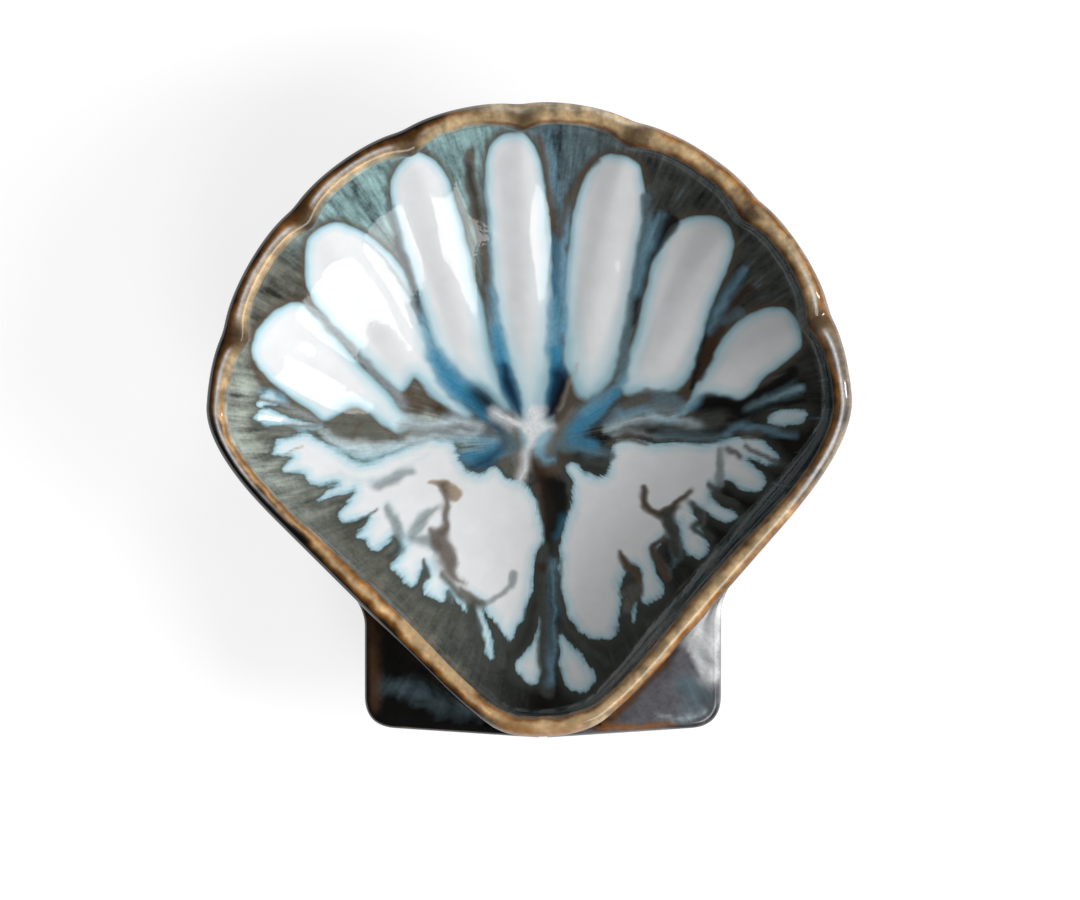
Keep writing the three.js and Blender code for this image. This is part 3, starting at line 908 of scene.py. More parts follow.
# Strokes as colour, softness, strength and (x, y, half width), first those between the petals
GROOVE_MARKS = [
    ("smoke", 0.5, 0.9, [(-47, 27.4, 0.6), (-43.3, 24, 1), (-29.8, 10, 1), (-27.5, 7, 1.2)]),
    ("slate", 0.7, 0.9, [(-30.1, 46, 1), (-23.9, 24.3, 0.8)]),
    ("black", 0.4, 0.7, [(-29.1, 40.4, 0.4), (-26.7, 34.1, 0.6), (-24.2, 25.5, 0.4)]),
    ("smoke", 0.4, 0.7, [(-35.3, 39.6, 0.6), (-30.6, 35.2, 0.6), (-24.6, 25.5, 0.6)]),
    ("sky", 1.2, 0.9, [(-23.9, 24.3, 0.8), (-22.3, 19, 1.6), (-19.5, 14, 2.4), (-17, 10.4, 2.4)]),
    ("blue", 1.4, 1, [(-21.5, 17, 0.8), (-18, 12, 1.8), (-14, 8.4, 2.2), (-10, 4.5, 1.6)]),
    ("bark", 0.7, 0.9, [(-14.2, 56.5, 1.4), (-13.6, 47.3, 1.4), (-9.2, 19, 0.6)]),
    ("black", 0.5, 0.7, [(-14.3, 53.8, 0.6), (-12.8, 44.4, 0.4)]),
    ("slate", 0.7, 0.8, [(-11.6, 51.1, 0.6), (-9.6, 27.9, 0.6)]),
    ("sky", 1, 0.9, [(-10.1, 29.9, 0.6), (-8.6, 18, 1.8)]),
    ("blue", 1.2, 1, [(-9.2, 22, 0.6), (-8.2, 16, 1.6), (-6.8, 11, 1.8), (-5.4, 7.7, 1.2)]),
    ("navy", 0.8, 1, [(-8, 15.2, 0.8), (-6.6, 10.8, 1.4), (-4.4, 5.3, 0.6)]),
    ("bark", 0.6, 0.9, [(-0.4, 59.5, 1), (3.2, 35.8, 0.8), (3.8, 20, 0.6)]),
    ("sky", 0.9, 0.8, [(1.4, 60.4, 0.6), (3.2, 47.4, 0.6)]),
    ("sky", 0.7, 0.9, [(4.3, 45.8, 0.8), (4, 22, 0.8)]),
    ("blue", 0.7, 0.8, [(2.2, 40.7, 0.4), (2.6, 19, 1.2)]),
    ("sky", 0.9, 0.9, [(1.6, 27.9, 0.6), (1.8, 18, 1.6)]),
    ("blue", 1, 1, [(2.6, 18, 1.4), (2.6, 11, 1.8), (1.8, 7.7, 1.4)]),
    ("navy", 0.8, 1, [(3.4, 13.6, 1.6), (2.8, 9.7, 1.8), (0.8, 4.9, 0.6)]),
    ("black", 0.6, 0.9, [(4.4, 12.4, 0.8), (3.4, 8.9, 1.2), (1.6, 5.7, 0.8)]),
    ("tan", 0.5, 0.6, [(6.8, 15.6, 0.6), (5.2, 10.4, 0.4), (3.2, 6.5, 0.4)]),
    ("bark", 0.6, 0.9, [(10.2, 55.1, 1), (6.9, 51.1, 1), (4.5, 46.4, 0.8), (3.2, 40.7, 0.6)]),
    ("slate", 0.7, 0.95, [(20.2, 48.1, 1.2), (20, 40.5, 1.2), (15.4, 13, 1.4)]),
    ("black", 0.5, 0.9, [(25.2, 43.3, 1.6), (20.4, 34.1, 0.8), (18.1, 23.9, 0.6)]),
    ("sky", 0.9, 0.8, [(23, 44.7, 0.8), (21.3, 40.5, 0.8), (18.7, 29.8, 0.4)]),
    ("black", 0.5, 0.9, [(38.9, 33.1, 0.8), (33.8, 25.4, 0.8), (29.6, 10.8, 0.8)]),
    ("brown", 0.6, 0.9, [(40.9, 29.9, 1.4), (37.1, 26.9, 1.6), (34.3, 21.8, 1.4), (31.2, 12.4, 1)]),
    ("sky", 0.9, 0.8, [(39.7, 33.8, 0.6), (34.8, 26.1, 0.6), (33.1, 22.4, 0.4)]),
    ("slate", 0.6, 0.9, [(35.6, 24.2, 0.8), (39.1, 25.3, 1)]),
]
# Blue and brown round the hub, with the white that runs through it
HUB_MARKS = [
    ("black", 1.6, 1, [(-13.2, 9.6, 1), (-11.2, 8, 1.6), (-9.2, 6.6, 0.8)]),
    ("bark", 0.8, 0.9, [(-26.3, 9.6, 1.4), (-24.7, 6.4, 1.4), (-27.1, 5.6, 0.8)]),
    ("bark", 0.8, 1, [(-21.9, 7.6, 0.8), (-15.6, 3.3, 1.4), (-11, 1.7, 1.6)]),
    ("brown", 0.7, 0.8, [(-20.6, 6.4, 0.6), (-14, 2.1, 0.8)]),
    ("sky", 1.4, 0.9, [(-18, 0.4, 0.6), (-9, -0.4, 1.2)]),
    ("blue", 1.3, 1, [(-15.6, -3, 1), (-12, -3, 1.6), (-9, -1.8, 1.2)]),
    ("navy", 1, 0.9, [(-14.2, -4.8, 0.6), (-10.6, -3.4, 1), (-8.4, -1.6, 0.6)]),
    ("slate", 1, 1, [(-10, 5.6, 1), (-5.6, -1.4, 1.5), (-5, -5.4, 0.9)]),
    ("navy", 1, 0.7, [(-10, 5, 0.6), (-8.4, 2, 0.8), (-7.6, -0.4, 0.5)]),
    ("taupe", 0.8, 0.9, [(-5, -2.6, 0.7), (-5, -5.6, 0.9), (-5.8, -6.8, 0.5)]),
    ("slate", 1.2, 1, [(13, 9.6, 1.4), (8.6, 5.6, 2), (5, 1.4, 2), (2.2, -1.6, 1)]),
    ("sky", 1, 0.9, [(16.8, 12.6, 0.5), (9, 5.4, 0.8)]),
    ("blue", 1.2, 1, [(14.6, 9.6, 0.8), (7, 2.4, 1.1)]),
    ("taupe", 0.8, 0.7, [(5.8, 6.4, 0.5), (1, -1.4, 0.6)]),
    ("slate", 1.2, 1, [(5, -0.6, 1.2), (9, -1.6, 1.6), (13, -2.4, 1)]),
    ("blue", 1.2, 0.9, [(6, 0.2, 0.7), (10, -0.6, 0.8)]),
    ("charcoal", 0.9, 1, [(8.8, -4, 0.6), (12, -5, 0.9), (13.8, -3, 0.5)]),
    ("white", 1, 1, [(-9.4, 5.6, 0.6), (-3, 2.6, 1.2)]),
    ("white", 0.9, 1, [(-1.4, 6, 1.6), (-1.8, 3, 1.6), (-2.6, 0, 0.9), (-4.2, -7.4, 0.6)]),
    ("white", 0.9, 0.9, [(1.8, 3, 0.6), (-0.6, 3, 1.2)]),
    ("brown", 0.8, 0.9, [(-2, -1.6, 0.4), (-1.4, -5, 1), (0.6, -7, 1.8)]),
    ("bark", 0.8, 0.8, [(0.6, -5, 0.7), (3.4, -6.4, 1)]),
    ("sky", 0.8, 0.9, [(-0.8, -1.6, 0.5), (0.6, -3.4, 0.7), (2.4, -3.8, 0.5)]),
    ("black", 0.8, 0.8, [(-3.8, -9, 0.4), (0, -8.4, 0.8), (3.6, -8.8, 0.6)]),
]
# The dark stem from the hub to the hinge
STEM_MARKS = [
    ("bark", 0.7, 0.9, [(-0.6, -9.5, 1.2), (0.8, -14.3, 1.4), (1.2, -17.9, 1)]),
    ("soot", 0.7, 0.85, [(2, -9.5, 2.6), (2.2, -13.1, 2.4), (1, -21.1, 1)]),
    ("black", 1, 0.75, [(3.6, -9.3, 1.2), (3.8, -13.1, 1), (2.4, -17.1, 0.8)]),
    ("blue", 1, 0.6, [(4.2, -15.5, 0.6), (3.4, -18.9, 0.6)]),
    ("charcoal", 0.7, 1, [(0.2, -21.3, 1.2), (0, -39.6, 1.2), (0.8, -49.2, 1.6)]),
    ("brown", 0.4, 0.8, [(-0.4, -24.9, 0.8), (0.8, -24.9, 0.8)]),
    ("sky", 0.9, 0.8, [(2.2, -23.9, 0.4), (2.2, -39.6, 0.6), (1.6, -47.3, 0.4)]),
    ("charcoal", 0.6, 0.95, [(3.4, -23.9, 0.4), (3.8, -31.8, 0.6), (5.4, -37.3, 0.8), (12.4, -43.6, 1)]),
]
# Bands that run from the hub to the left shoulder
LEFT_BANDS = [
    ("smoke", 0.9, 0.8, [(33, 8.6, 0.8), (27, 6.6, 0.8), (20, 7.6, 0.8), (14, 4.6, 0.5)]),
    ("tan", 1.4, 0.6, [(-27, -33.4, 0.6), (-21.4, -39.4, 1), (-15, -45.6, 0.6)]),
    ("olive", 1, 1, [(-40.4, 2.8, 2.6), (-35.8, 2.8, 2.8), (-33.4, 0.8, 1.2)]),
    ("bark", 0.5, 0.7, [(-38.5, -0.4, 0.4), (-36.1, 4, 0.6)]),
    ("olive", 0.7, 0.9, [(-33.4, 1.2, 0.8), (-28.7, -0.1, 0.6), (-23.9, 0.7, 0.8), (-20, 2.3, 0.8)]),
    ("cyan", 0.8, 0.8, [(-40, -1.9, 0.8), (-34.2, -2.7, 1.2), (-28.7, -1.1, 0.8)]),
    ("pale", 1, 0.85, [
        (-44, 2, 0.5), (-38, -1.2, 0.8), (-30, -0.8, 0.8), (-22, 1.2, 0.8), (-14, 1.6, 0.5),
    ]),
    ("pale", 1, 0.9, [(-29, 4, 1.4), (-23.5, 3.2, 1.1), (-18, 4.2, 0.8), (-13, 3, 0.5)]),
    ("bark", 0.8, 0.7, [(-28, 1.6, 0.4), (-14, 2.6, 0.4)]),
    ("smoke", 0.8, 0.8, [(-27.9, 3.2, 0.6), (-22.9, 2.8, 0.8), (-18, 1.7, 0.6)]),
    ("bark", 0.6, 0.9, [(-56.5, 15.2, 0.8), (-54.4, 11.5, 1), (-50.9, 9.3, 0.6)]),
    ("sky", 0.9, 0.8, [(-55.5, 9.8, 0.4), (-51.1, 8.3, 0.6)]),
    ("bark", 0.5, 0.9, [(-55.7, 8.2, 0.6), (-51.1, 7.1, 0.4)]),
    ("smoke", 0.5, 0.8, [(-51.1, 7.5, 0.6), (-43.9, 3.8, 0.6)]),
    ("olive", 0.6, 0.9, [(-55.2, 1.2, 1), (-50.2, 2.8, 0.8), (-45, 3, 0.6)]),
    ("tan", 0.3, 0.8, [(-51.1, -2.5, 0.4), (-47.3, -0.8, 0.4)]),
]
# Bands that run from the hub to the right shoulder
RIGHT_BANDS = [
    ("slate", 0.8, 1, [(26.3, 8, 1.6), (20.9, 8.6, 1.8), (12.8, 3.7, 1.2)]),
    ("bark", 0.7, 0.8, [(20.9, 9.2, 1.2), (17, 7.2, 1.2)]),
    ("charcoal", 0.7, 1, [
        (15.6, 2.5, 0.8), (21, 3.8, 1), (25.5, 2.6, 1.2), (30.3, 3.2, 1.4), (35, 4.8, 1.8),
    ]),
    ("black", 0.7, 1, [(30.3, 6.8, 1.2), (33, 7.8, 1.8), (36.1, 7.6, 1.8), (40, 6.2, 1.2)]),
    ("sky", 0.9, 0.8, [(16, 5.4, 0.4), (20, 6.4, 0.4), (25.5, 4.4, 0.6), (30.6, 8.6, 0.6)]),
    ("smoke", 0.5, 0.8, [(14, 1.5, 0.6), (19.6, 1.9, 0.6), (22.9, 0.7, 0.4)]),
    ("bark", 0.6, 0.9, [(12.8, -0.3, 0.4), (17, 0.7, 0.8), (21.1, -0.7, 0.6)]),
    ("pale", 0.9, 0.75, [(31, 3.2, 0.4), (24, 5, 0.6), (18, 4.4, 0.5), (12, 2, 0.4)]),
    ("slate", 0.8, 0.9, [(22.9, 0.9, 0.8), (29.9, 0.6, 1), (36.1, 1.2, 1)]),
    ("black", 0.6, 0.95, [(38.7, 6.8, 1), (47.3, 12, 1.2), (49.5, 14.2, 1)]),
    ("cyan", 0.7, 0.85, [(40.6, 6.2, 0.4), (50.3, 10.6, 1.2)]),
    ("black", 0.5, 0.9, [(39.3, 4.8, 0.8), (44.5, 7, 0.8), (51.1, 8.1, 0.8)]),
    ("charcoal", 0.6, 0.95, [(37.7, 3, 1), (49.6, 2, 1)]),
    ("sky", 0.9, 0.8, [(36.7, 1.6, 0.4), (40.6, 3, 0.4), (49.6, 0.6, 0.4)]),
    ("bark", 0.5, 0.9, [(39.6, 1, 0.8), (42.7, 1.2, 0.8)]),
    ("charcoal", 0.5, 0.9, [(36.7, -1.3, 0.6), (39.2, -2.9, 0.8)]),
    ("charcoal", 0.5, 0.9, [(40, -0.8, 0.6), (47.1, -4.5, 0.8)]),
]
# Threads and veils in the lower pools
POOL_THREADS = [
    ("cyan", 1.4, 0.6, [(-40, -6, 0.8), (-33, -7.6, 1), (-23, -2.4, 0.6)]),
    ("smoke", 1, 0.7, [(-33.4, -8.8, 0.8), (-26, -6, 0.6)]),
    ("cyan", 1.3, 0.6, [(-31, -12, 0.6), (-28.6, -17, 1), (-27.6, -22, 0.8)]),
    ("cyan", 1.3, 0.6, [(-22.5, -19, 0.8), (-21, -25, 1), (-17.6, -31, 0.6)]),
    ("cyan", 1.3, 0.55, [(-24.4, -14.6, 1.2), (-26.2, -19.4, 1.2)]),
    ("cyan", 1.2, 0.55, [(28, -13.6, 0.8), (27.4, -19, 1), (25.4, -25, 0.8)]),
    ("smoke", 1.2, 0.6, [(36, -3, 0.8), (33, -10, 0.8), (31.4, -16, 0.8)]),
    ("tan", 0.5, 0.95, [(-22.5, -7.9, 0.6), (-19.9, -8.7, 1.2), (-17.5, -10.5, 1.6)]),
    ("bark", 0.7, 0.9, [(-19.9, -8.7, 0.8), (-19.3, -12.9, 1), (-19.5, -17.4, 1)]),
    ("bark", 0.8, 0.9, [(-20.4, -18.4, 1.6), (-19, -22.4, 2), (-17.6, -26.3, 1.2), (-15.3, -28.1, 0.5)]),
    ("smoke", 0.6, 0.9, [(-30.9, -13.2, 0.6), (-29.3, -16.2, 1), (-28.5, -18.9, 1)]),
    ("smoke", 0.7, 0.85, [(-21.3, -13.1, 0.8), (-23.6, -15.2, 1.2), (-25.7, -19, 1), (-22.6, -19.8, 1.2)]),
    ("bark", 0.5, 0.8, [(-22.2, -17.4, 0.6), (-21, -21, 1)]),
    ("smoke", 0.5, 0.9, [(-6, -26.4, 1), (-7, -29.4, 0.8), (-12.3, -32.8, 0.6)]),
    ("bark", 0.5, 0.9, [(-16, -29.3, 0.6), (-13.9, -31, 1), (-11.9, -31.7, 0.8)]),
    ("smoke", 0.7, 0.7, [(-32.1, -9.1, 1), (-28.8, -6.9, 1), (-26.1, -6.3, 0.6)]),
    ("charcoal", 0.4, 0.95, [(-37, -16.3, 0.6), (-32.8, -13.4, 0.4)]),
    ("charcoal", 0.5, 0.95, [(-29.4, -19.3, 0.6), (-28.4, -21.3, 0.8), (-30.1, -22.8, 0.8)]),
    ("charcoal", 0.4, 0.95, [(-23.5, -23.3, 0.4), (-22.7, -26.2, 0.8)]),
    ("olive", 0.5, 0.95, [(-19.8, -26.1, 0.6), (-17.4, -29.2, 0.8), (-14.2, -32, 1)]),
    ("charcoal", 0.5, 0.95, [(-14.2, -32.4, 0.8), (-11.8, -40.2, 1)]),
    ("charcoal", 0.5, 0.95, [(-9.5, -36, 0.6), (-7.9, -43.4, 1.2)]),
    ("bark", 0.5, 1, [
        (20.1, -9.1, 0.8), (20.1, -11.9, 1), (21.9, -14.1, 1), (24.6, -14, 1), (29.4, -9.5, 0.6),
    ]),
    ("charcoal", 0.6, 1, [(24.6, -14.6, 1.4), (26.6, -22.2, 1.2)]),
    ("bark", 0.5, 1, [(23.9, -19, 0.6), (21.8, -21.3, 1), (24.4, -26.7, 1)]),
    ("bark", 0.5, 1, [(15.5, -21.8, 0.6), (16.5, -24.2, 1), (18.8, -26.1, 0.8), (19.1, -29.6, 0.8)]),
    ("olive", 0.7, 0.9, [(15.8, -30, 1), (18.2, -29.6, 1.4), (16.6, -32.7, 1.2)]),
    ("smoke", 0.5, 0.9, [(35.1, -1.7, 0.8), (35.2, -8.3, 1)]),
    ("charcoal", 0.5, 0.95, [(32.7, -8.5, 0.6), (34.6, -10.4, 0.8), (38.1, -12.4, 0.8)]),
    ("charcoal", 0.5, 0.95, [
        (29.3, -12.2, 0.8), (31.2, -14.8, 0.8), (29.6, -17.1, 0.8), (32.6, -18.8, 0.8),
    ]),
]
MARKS = GROOVE_MARKS + HUB_MARKS + STEM_MARKS + LEFT_BANDS + RIGHT_BANDS + POOL_THREADS

# Thin spots on the lip
LIP_MARKS = [
    ("amber", 2.0, 0.45, [(-8, -54.6, 2.4), (0, -57.4, 2.4), (8, -54.6, 2.4)]),
    ("amber", 1.4, 0.75, [(-8, -56.6, 1.4), (1, -57.4, 1.8), (10, -56.6, 1.4)]),
    ("honey", 1, 0.8, [(-27, -35, 1.4), (-21.4, -41, 1.6), (-14, -48, 1.6)]),
    ("amber", 0.8, 0.8, [(13, -55.5, 1), (20, -49, 1)]),
    ("honey", 0.5, 0.7, [(41.5, 45.2, 0.9), (43.5, 43.5, 0.9)]),
    ("honey", 0.5, 0.7, [(48, 38.5, 0.9), (50.5, 34, 0.9)]),
]

# Glaze on the ears, with painted highlights: white glints and a paler grey smear that is partly painted
# sheen on the left ear, and a white patch of painted reflection on the right ear
EAR_MARKS = [
    ("brown", 1.4, 1, [(-34, -31, 1.8), (-33.4, -40, 1.8), (-33, -52, 1.2)]),
    ("amber", 1.6, 0.08, [(-34, -31, 1.2), (-33.4, -40, 1), (-33, -50, 0.7)]),
    ("brown", 2, 0.6, [(-28, -37.5, 2), (-25.5, -43, 2)]),
    ("slate", 1.6, 0.7, [(-29, -48, 2), (-24, -49.5, 2.6), (-20, -51.5, 2.4), (-15.5, -53, 2.2)]),
    ("black", 0.5, 0.9, [(-27, -46.6, 0.4), (-22.6, -47, 0.5), (-21.4, -50.5, 0.5), (-25, -51.6, 0.4)]),
    ("black", 0.5, 0.8, [(-19.5, -49.8, 0.4), (-17.5, -52.4, 0.5), (-20.5, -54.2, 0.4)]),
    # Paler grey smear by the left ear's rim, partly painted sheen
    ("smoke", 1.2, 0.8, [(-15, -50.8, 1.3), (-11.5, -52.8, 1.7)]),
    ("amber", 0.9, 0.7, [(-23.5, -41.8, 1), (-19.6, -46, 1.2), (-17.8, -48.2, 0.6)]),
    # Painted highlight: white glints on the left ear along the rim
    ("white", 0.5, 0.9, [(-18, -47.8, 0.4), (-14.4, -50.4, 0.6)]),
    ("amber", 0.5, 0.7, [(-27, -56.2, 0.5), (-21, -56.8, 0.5)]),
    ("brown", 1, 1, [(10.5, -55, 2.2), (19.6, -46.5, 2), (28.3, -37, 1.8)]),
    ("amber", 0.8, 0.6, [(14, -52.6, 1), (23, -43.2, 1)]),
    ("slate", 1.3, 0.8, [(27.5, -47.5, 2.4), (31.5, -49.5, 2.4), (28, -52, 1.6)]),
    ("charcoal", 0.4, 0.7, [(26.5, -48.4, 0.5), (28.4, -49.3, 0.4)]),
    ("charcoal", 0.4, 0.7, [(30.4, -47.8, 0.4), (31.2, -50.6, 0.5)]),
    # Painted reflection: a white patch of lamp light on the right ear
    ("white", 1.1, 1, [(33.2, -31.5, 2.4), (31.6, -37.5, 3.4), (33, -46, 1.8)]),
    ("black", 0.7, 0.85, [(36, -31, 0.5), (35.6, -40, 0.5), (35.4, -49, 0.5)]),
    ("smoke", 0.8, 0.7, [(30, -40, 0.8), (33, -43, 0.8)]),
    ("amber", 0.7, 0.8, [(12, -56, 1), (20, -56, 1.1), (25, -55.6, 0.7)]),
    ("pale", 0.6, 0.6, [(22, -53.8, 0.5), (28, -54.2, 0.6), (31.5, -53, 0.6)]),
    ("black", 0.7, 0.95, [(26, -56.3, 0.9), (32, -55.6, 1.1), (34.6, -52, 0.7)]),
]


# The dark glaze round the bowl, as an angle from the hub and a colour; it grows darker towards the right
# partly as painted shade, where the right wall faces away from the lamps
BAY_TINTS = [
    (0, "soot"), (28, "charcoal"), (68, "charcoal"), (88, "slate"), (104, "mist"), (132, "mist"),
    (146, "olive"), (158, "olive"), (168, "moss"), (188, "moss"), (204, "olive"), (225, "olive"),
    (252, "charcoal"), (270, "soot"), (300, "charcoal"), (325, "soot"), (360, "soot"),
]

# The glaze breaking over the lip, as a station, a colour and a cover, from inside to outside. The left
# stretches end in brown and black on the outer edge, partly as painted shade where that side of the lip
# turns away from the lamps
LIP_TOP = [
    (1.05, "honey", 0), (1.18, "tan", 0.5), (1.28, "amber", 0.9), (1.38, "honey", 1), (1.6, "honey", 1),
    (1.72, "cream", 1), (1.85, "honey", 1), (1.97, "brown", 1),
]
LIP_LEFT_FAN = [
    (1.08, "honey", 0), (1.2, "honey", 0.5), (1.32, "honey", 1), (1.5, "honey", 1), (1.62, "amber", 1),
    (1.76, "brown", 1), (1.88, "black", 1),
]
LIP_LEFT_SHOULDER = [
    (1.08, "honey", 0), (1.2, "tan", 0.5), (1.3, "amber", 1), (1.42, "honey", 1), (1.48, "amber", 1),
    (1.55, "brown", 1), (1.61, "black", 1),
]
LIP_LEFT_FLANK = [
    (1.0, "bark", 0), (1.12, "bark", 0.7), (1.25, "amber", 1), (1.45, "honey", 1), (1.55, "amber", 1),
    (1.68, "brown", 1), (1.8, "black", 1),
]
LIP_RIGHT_FAN = [
    (1.02, "brown", 0), (1.15, "brown", 0.9), (1.25, "amber", 1), (1.4, "honey", 1), (1.58, "honey", 1),
    (1.7, "amber", 1), (1.85, "taupe", 1), (2.1, "taupe", 1),
]
LIP_RIGHT_SHOULDER = [
    (1.05, "brown", 0), (1.18, "brown", 0.9), (1.32, "amber", 1), (1.45, "taupe", 1), (2.1, "taupe", 1),
]
LIP_RIGHT_FLANK = [
    (1.0, "bark", 0), (1.12, "bark", 0.9), (1.24, "amber", 1), (1.38, "honey", 1), (1.6, "honey", 1),
    (1.74, "amber", 1), (1.88, "brown", 1),
]
BELOW_LIP = [(2.25, "black", 1), (2.6, "brown", 1), (3.0, "amber", 1)]

# Each stretch of the lip, as the angle of its middle, the facing where it starts and where it is full
LIP_STRETCHES = [
    (0, -2, -1, LIP_TOP), (140, 0.72, 0.85, LIP_LEFT_FAN), (195, 0.88, 0.97, LIP_LEFT_SHOULDER),
    (234, 0.84, 0.94, LIP_LEFT_FLANK), (40, 0.8, 0.9, LIP_RIGHT_FAN), (2, 0.9, 0.97, LIP_RIGHT_SHOULDER),
    (315, 0.78, 0.9, LIP_RIGHT_FLANK),
]


def softened(value, low, high):
    """0 up to low, 1 from high, and smooth between them."""
    part = np.clip((value - low) / (high - low), 0, 1)
    return part * part * (3 - 2 * part)


def tints_at(values, colours, stops, names):
    """Colours read off at values between stops that have named colours."""
    tints = np.array([getattr(colours, name) for name in names])
    return np.stack([np.interp(values, stops, channel) for channel in tints.T], axis=1)


def lay(coat, station, colours, bands):
    """Lays bands of (station, colour, cover) over a coat of colours."""
    stops, names, covers = zip(*bands)
    cover = np.interp(station, stops, covers)[:, None]
    return coat + (tints_at(station, colours, stops, names) - coat) * cover


def toward(coat, tint, amount):
    """A coat of colours drawn towards one tint."""
    return coat + (np.array(tint) - coat) * amount[:, None]


def facing(angle, middle):
    """1 at the middle angle, 0 a quarter turn away from it, and less than 0 behind."""
    return np.cos(np.radians(angle - middle))


def bay_coat(colours, angle):
    """The dark glaze between the pools, blue-grey over the fan and darker to the right, partly as painted
    shade.
    """
    return tints_at(angle, colours, *zip(*BAY_TINTS))


SOFTNESS = 1.7
LEAST_COVER = 1e-6


def points_of(mesh):
    """A mesh's points in millimetres from the hub, with their heights."""
    flat = np.empty(len(mesh.vertices) * 3)
    mesh.vertices.foreach_get("co", flat)
    return (flat.reshape(-1, 3) - np.array((HUB.x, HUB.y, 0))) / MILLIMETRE


def marked(plan, colours, strokes):
    """Colours and cover of a set of strokes, each laid over the ones before it."""
    marks = np.zeros((len(plan), 3))
    cover = np.zeros(len(plan))
    for name, soft, strength, stroke in strokes:
        laid = strength * (1 - softened(gap_to(plan, stroke), -SOFTNESS * soft, SOFTNESS * soft))
        left = cover * (1 - laid)
        total = np.maximum(laid + left, LEAST_COVER)[:, None]
        marks = (np.array(getattr(colours, name)) * laid[:, None] + marks * left[:, None]) / total
        cover = laid + left
    return marks, cover


# Noise on the lip, as a strength, a size in millimetres and a seed, and the stations where mottling sets in
LIP_BREAK = ((0.07, 3.0, 41), (0.04, 1.2, 43))
LIP_MOTTLE = ((0.4, 2.2, 47), (0.2, 0.8, 49))
MOTTLE_START = (0.95, 1.15)

# Brown spots in the notches: their half width in degrees, strength, and stations of their soft ends
NOTCH_SPOT = 3.0
NOTCH_BROWN = 0.85
SPOT_START = (0.95, 1.1)
SPOT_END = (1.6, 1.8)

# Painted highlight, a white glint line along the crest: its station, soft half width, strength, and how it
# fades away from the fan's sides
GLINT_STATION = 1.52
GLINT_WIDTH = (0.02, 0.06)
GLINT_STRENGTH = 0.9
GLINT_ANGLE = -15
GLINT_FACING = (0.5, 0.8)
GLINT_RISE = (-20, 0)
GLINT_BREAK = (0.2, 0.7)


def rippled(plan, layers):
    """Layers of noise added up."""
    return sum(strength * ripple(plan, size, seed) for strength, size, seed in layers)


def lip_coat(colours, plan, angle, station, ribs):
    """The dark glaze as it breaks over the lip: amber and brown bands, outer edges darker on the left partly
    as painted shade, notch spots, and a painted highlight, a white glint line along the crest.
    """
    bare = bay_coat(colours, angle)
    broken = station + rippled(plan, LIP_BREAK)
    coat = bare
    for middle, start, full, bands in LIP_STRETCHES:
        there = softened(facing(angle, middle), start, full)[:, None]
        coat = coat + (lay(bare, broken, colours, bands + BELOW_LIP) - coat) * there
    mottling = softened(station, *MOTTLE_START) * rippled(plan, LIP_MOTTLE)
    coat = coat * (1 + mottling[:, None])
    notch = np.exp(-((angle[:, None] - np.degrees(np.array(ribs))) / NOTCH_SPOT) ** 2).sum(axis=1)
    spot = notch * softened(broken, *SPOT_START) * (1 - softened(broken, *SPOT_END))
    coat = toward(coat, colours.brown, NOTCH_BROWN * spot)
    # Painted highlight: a white glint line along the crest, on the fan's left and right sides and broken at
    # the notches
    crest = 1 - softened(np.abs(station - GLINT_STATION), *GLINT_WIDTH)
    sides = softened(np.abs(facing(angle, GLINT_ANGLE)), *GLINT_FACING) * softened(plan[:, 1], *GLINT_RISE)
    return toward(coat, colours.white, GLINT_STRENGTH * crest * sides * (1 - softened(notch, *GLINT_BREAK)))


# Streaks are weaker over the lip and at the hinge end
LIP_CALM = 0.75
CALM_START = (0.97, 1.1)
CALM_END = (1.9, 2.2)
HINGE_CALM = 0.65
HINGE_ANGLE = 270
HINGE_FACING = (0.1, 0.4)

# How painted edges wander, as a size and a reach in millimetres and a seed
PETAL_STIR = (4.0, 0.3, 3)
POOL_STIR = (2.6, 0.4, 11)
MARK_STIR = (2.4, 0.35, 31)
EAR_STIR = (3.0, 0.5, 57)

# Stations where the lip and the outside start
LIP_START = 1.0
OUTSIDE_START = 2.0


def nearest_gap(points, outlines):
    """Distance from each point to the nearest of some outlines, less than zero inside one."""
    return np.min([gap_to_outline(points, outline) for outline in outlines], axis=0)


def paint_coat(mesh, colours, ribs, station):
    """Paints a coat of the bowl: its base, its marks inside and on the lip, and the pools inside."""
    plan = points_of(mesh)[:, :2]
    angle = np.degrees(np.arctan2(plan[:, 1], plan[:, 0])) % 360
    base = lip_coat(colours, plan, angle, station, ribs)
    on_lip = softened(station, *CALM_START) * (1 - softened(station, *CALM_END))
    at_hinge = softened(facing(angle, HINGE_ANGLE), *HINGE_FACING)
    streaked = (1 - LIP_CALM * on_lip) * (1 - HINGE_CALM * at_hinge)
    petals = pools = np.full(len(plan), FAR_GAP)
    marks, cover = np.zeros((len(plan), 3)), np.zeros(len(plan))
    if station.max() <= LIP_START:
        petals = nearest_gap(stirred(plan, *PETAL_STIR), PETALS)
        pools = nearest_gap(stirred(plan, *POOL_STIR), POOLS)
        marks, cover = marked(stirred(plan, *MARK_STIR), colours, MARKS)
    elif station.min() < OUTSIDE_START:
        marks, cover = marked(stirred(plan, *MARK_STIR), colours, LIP_MARKS)
    write_paint(mesh, base, streaked, marks, cover, petals, pools)


# Strength of the streaks on an ear, and the millimetres from its top between which its sides end
EAR_STREAKS = 0.1
EAR_TOP = (-1.2, -0.6)


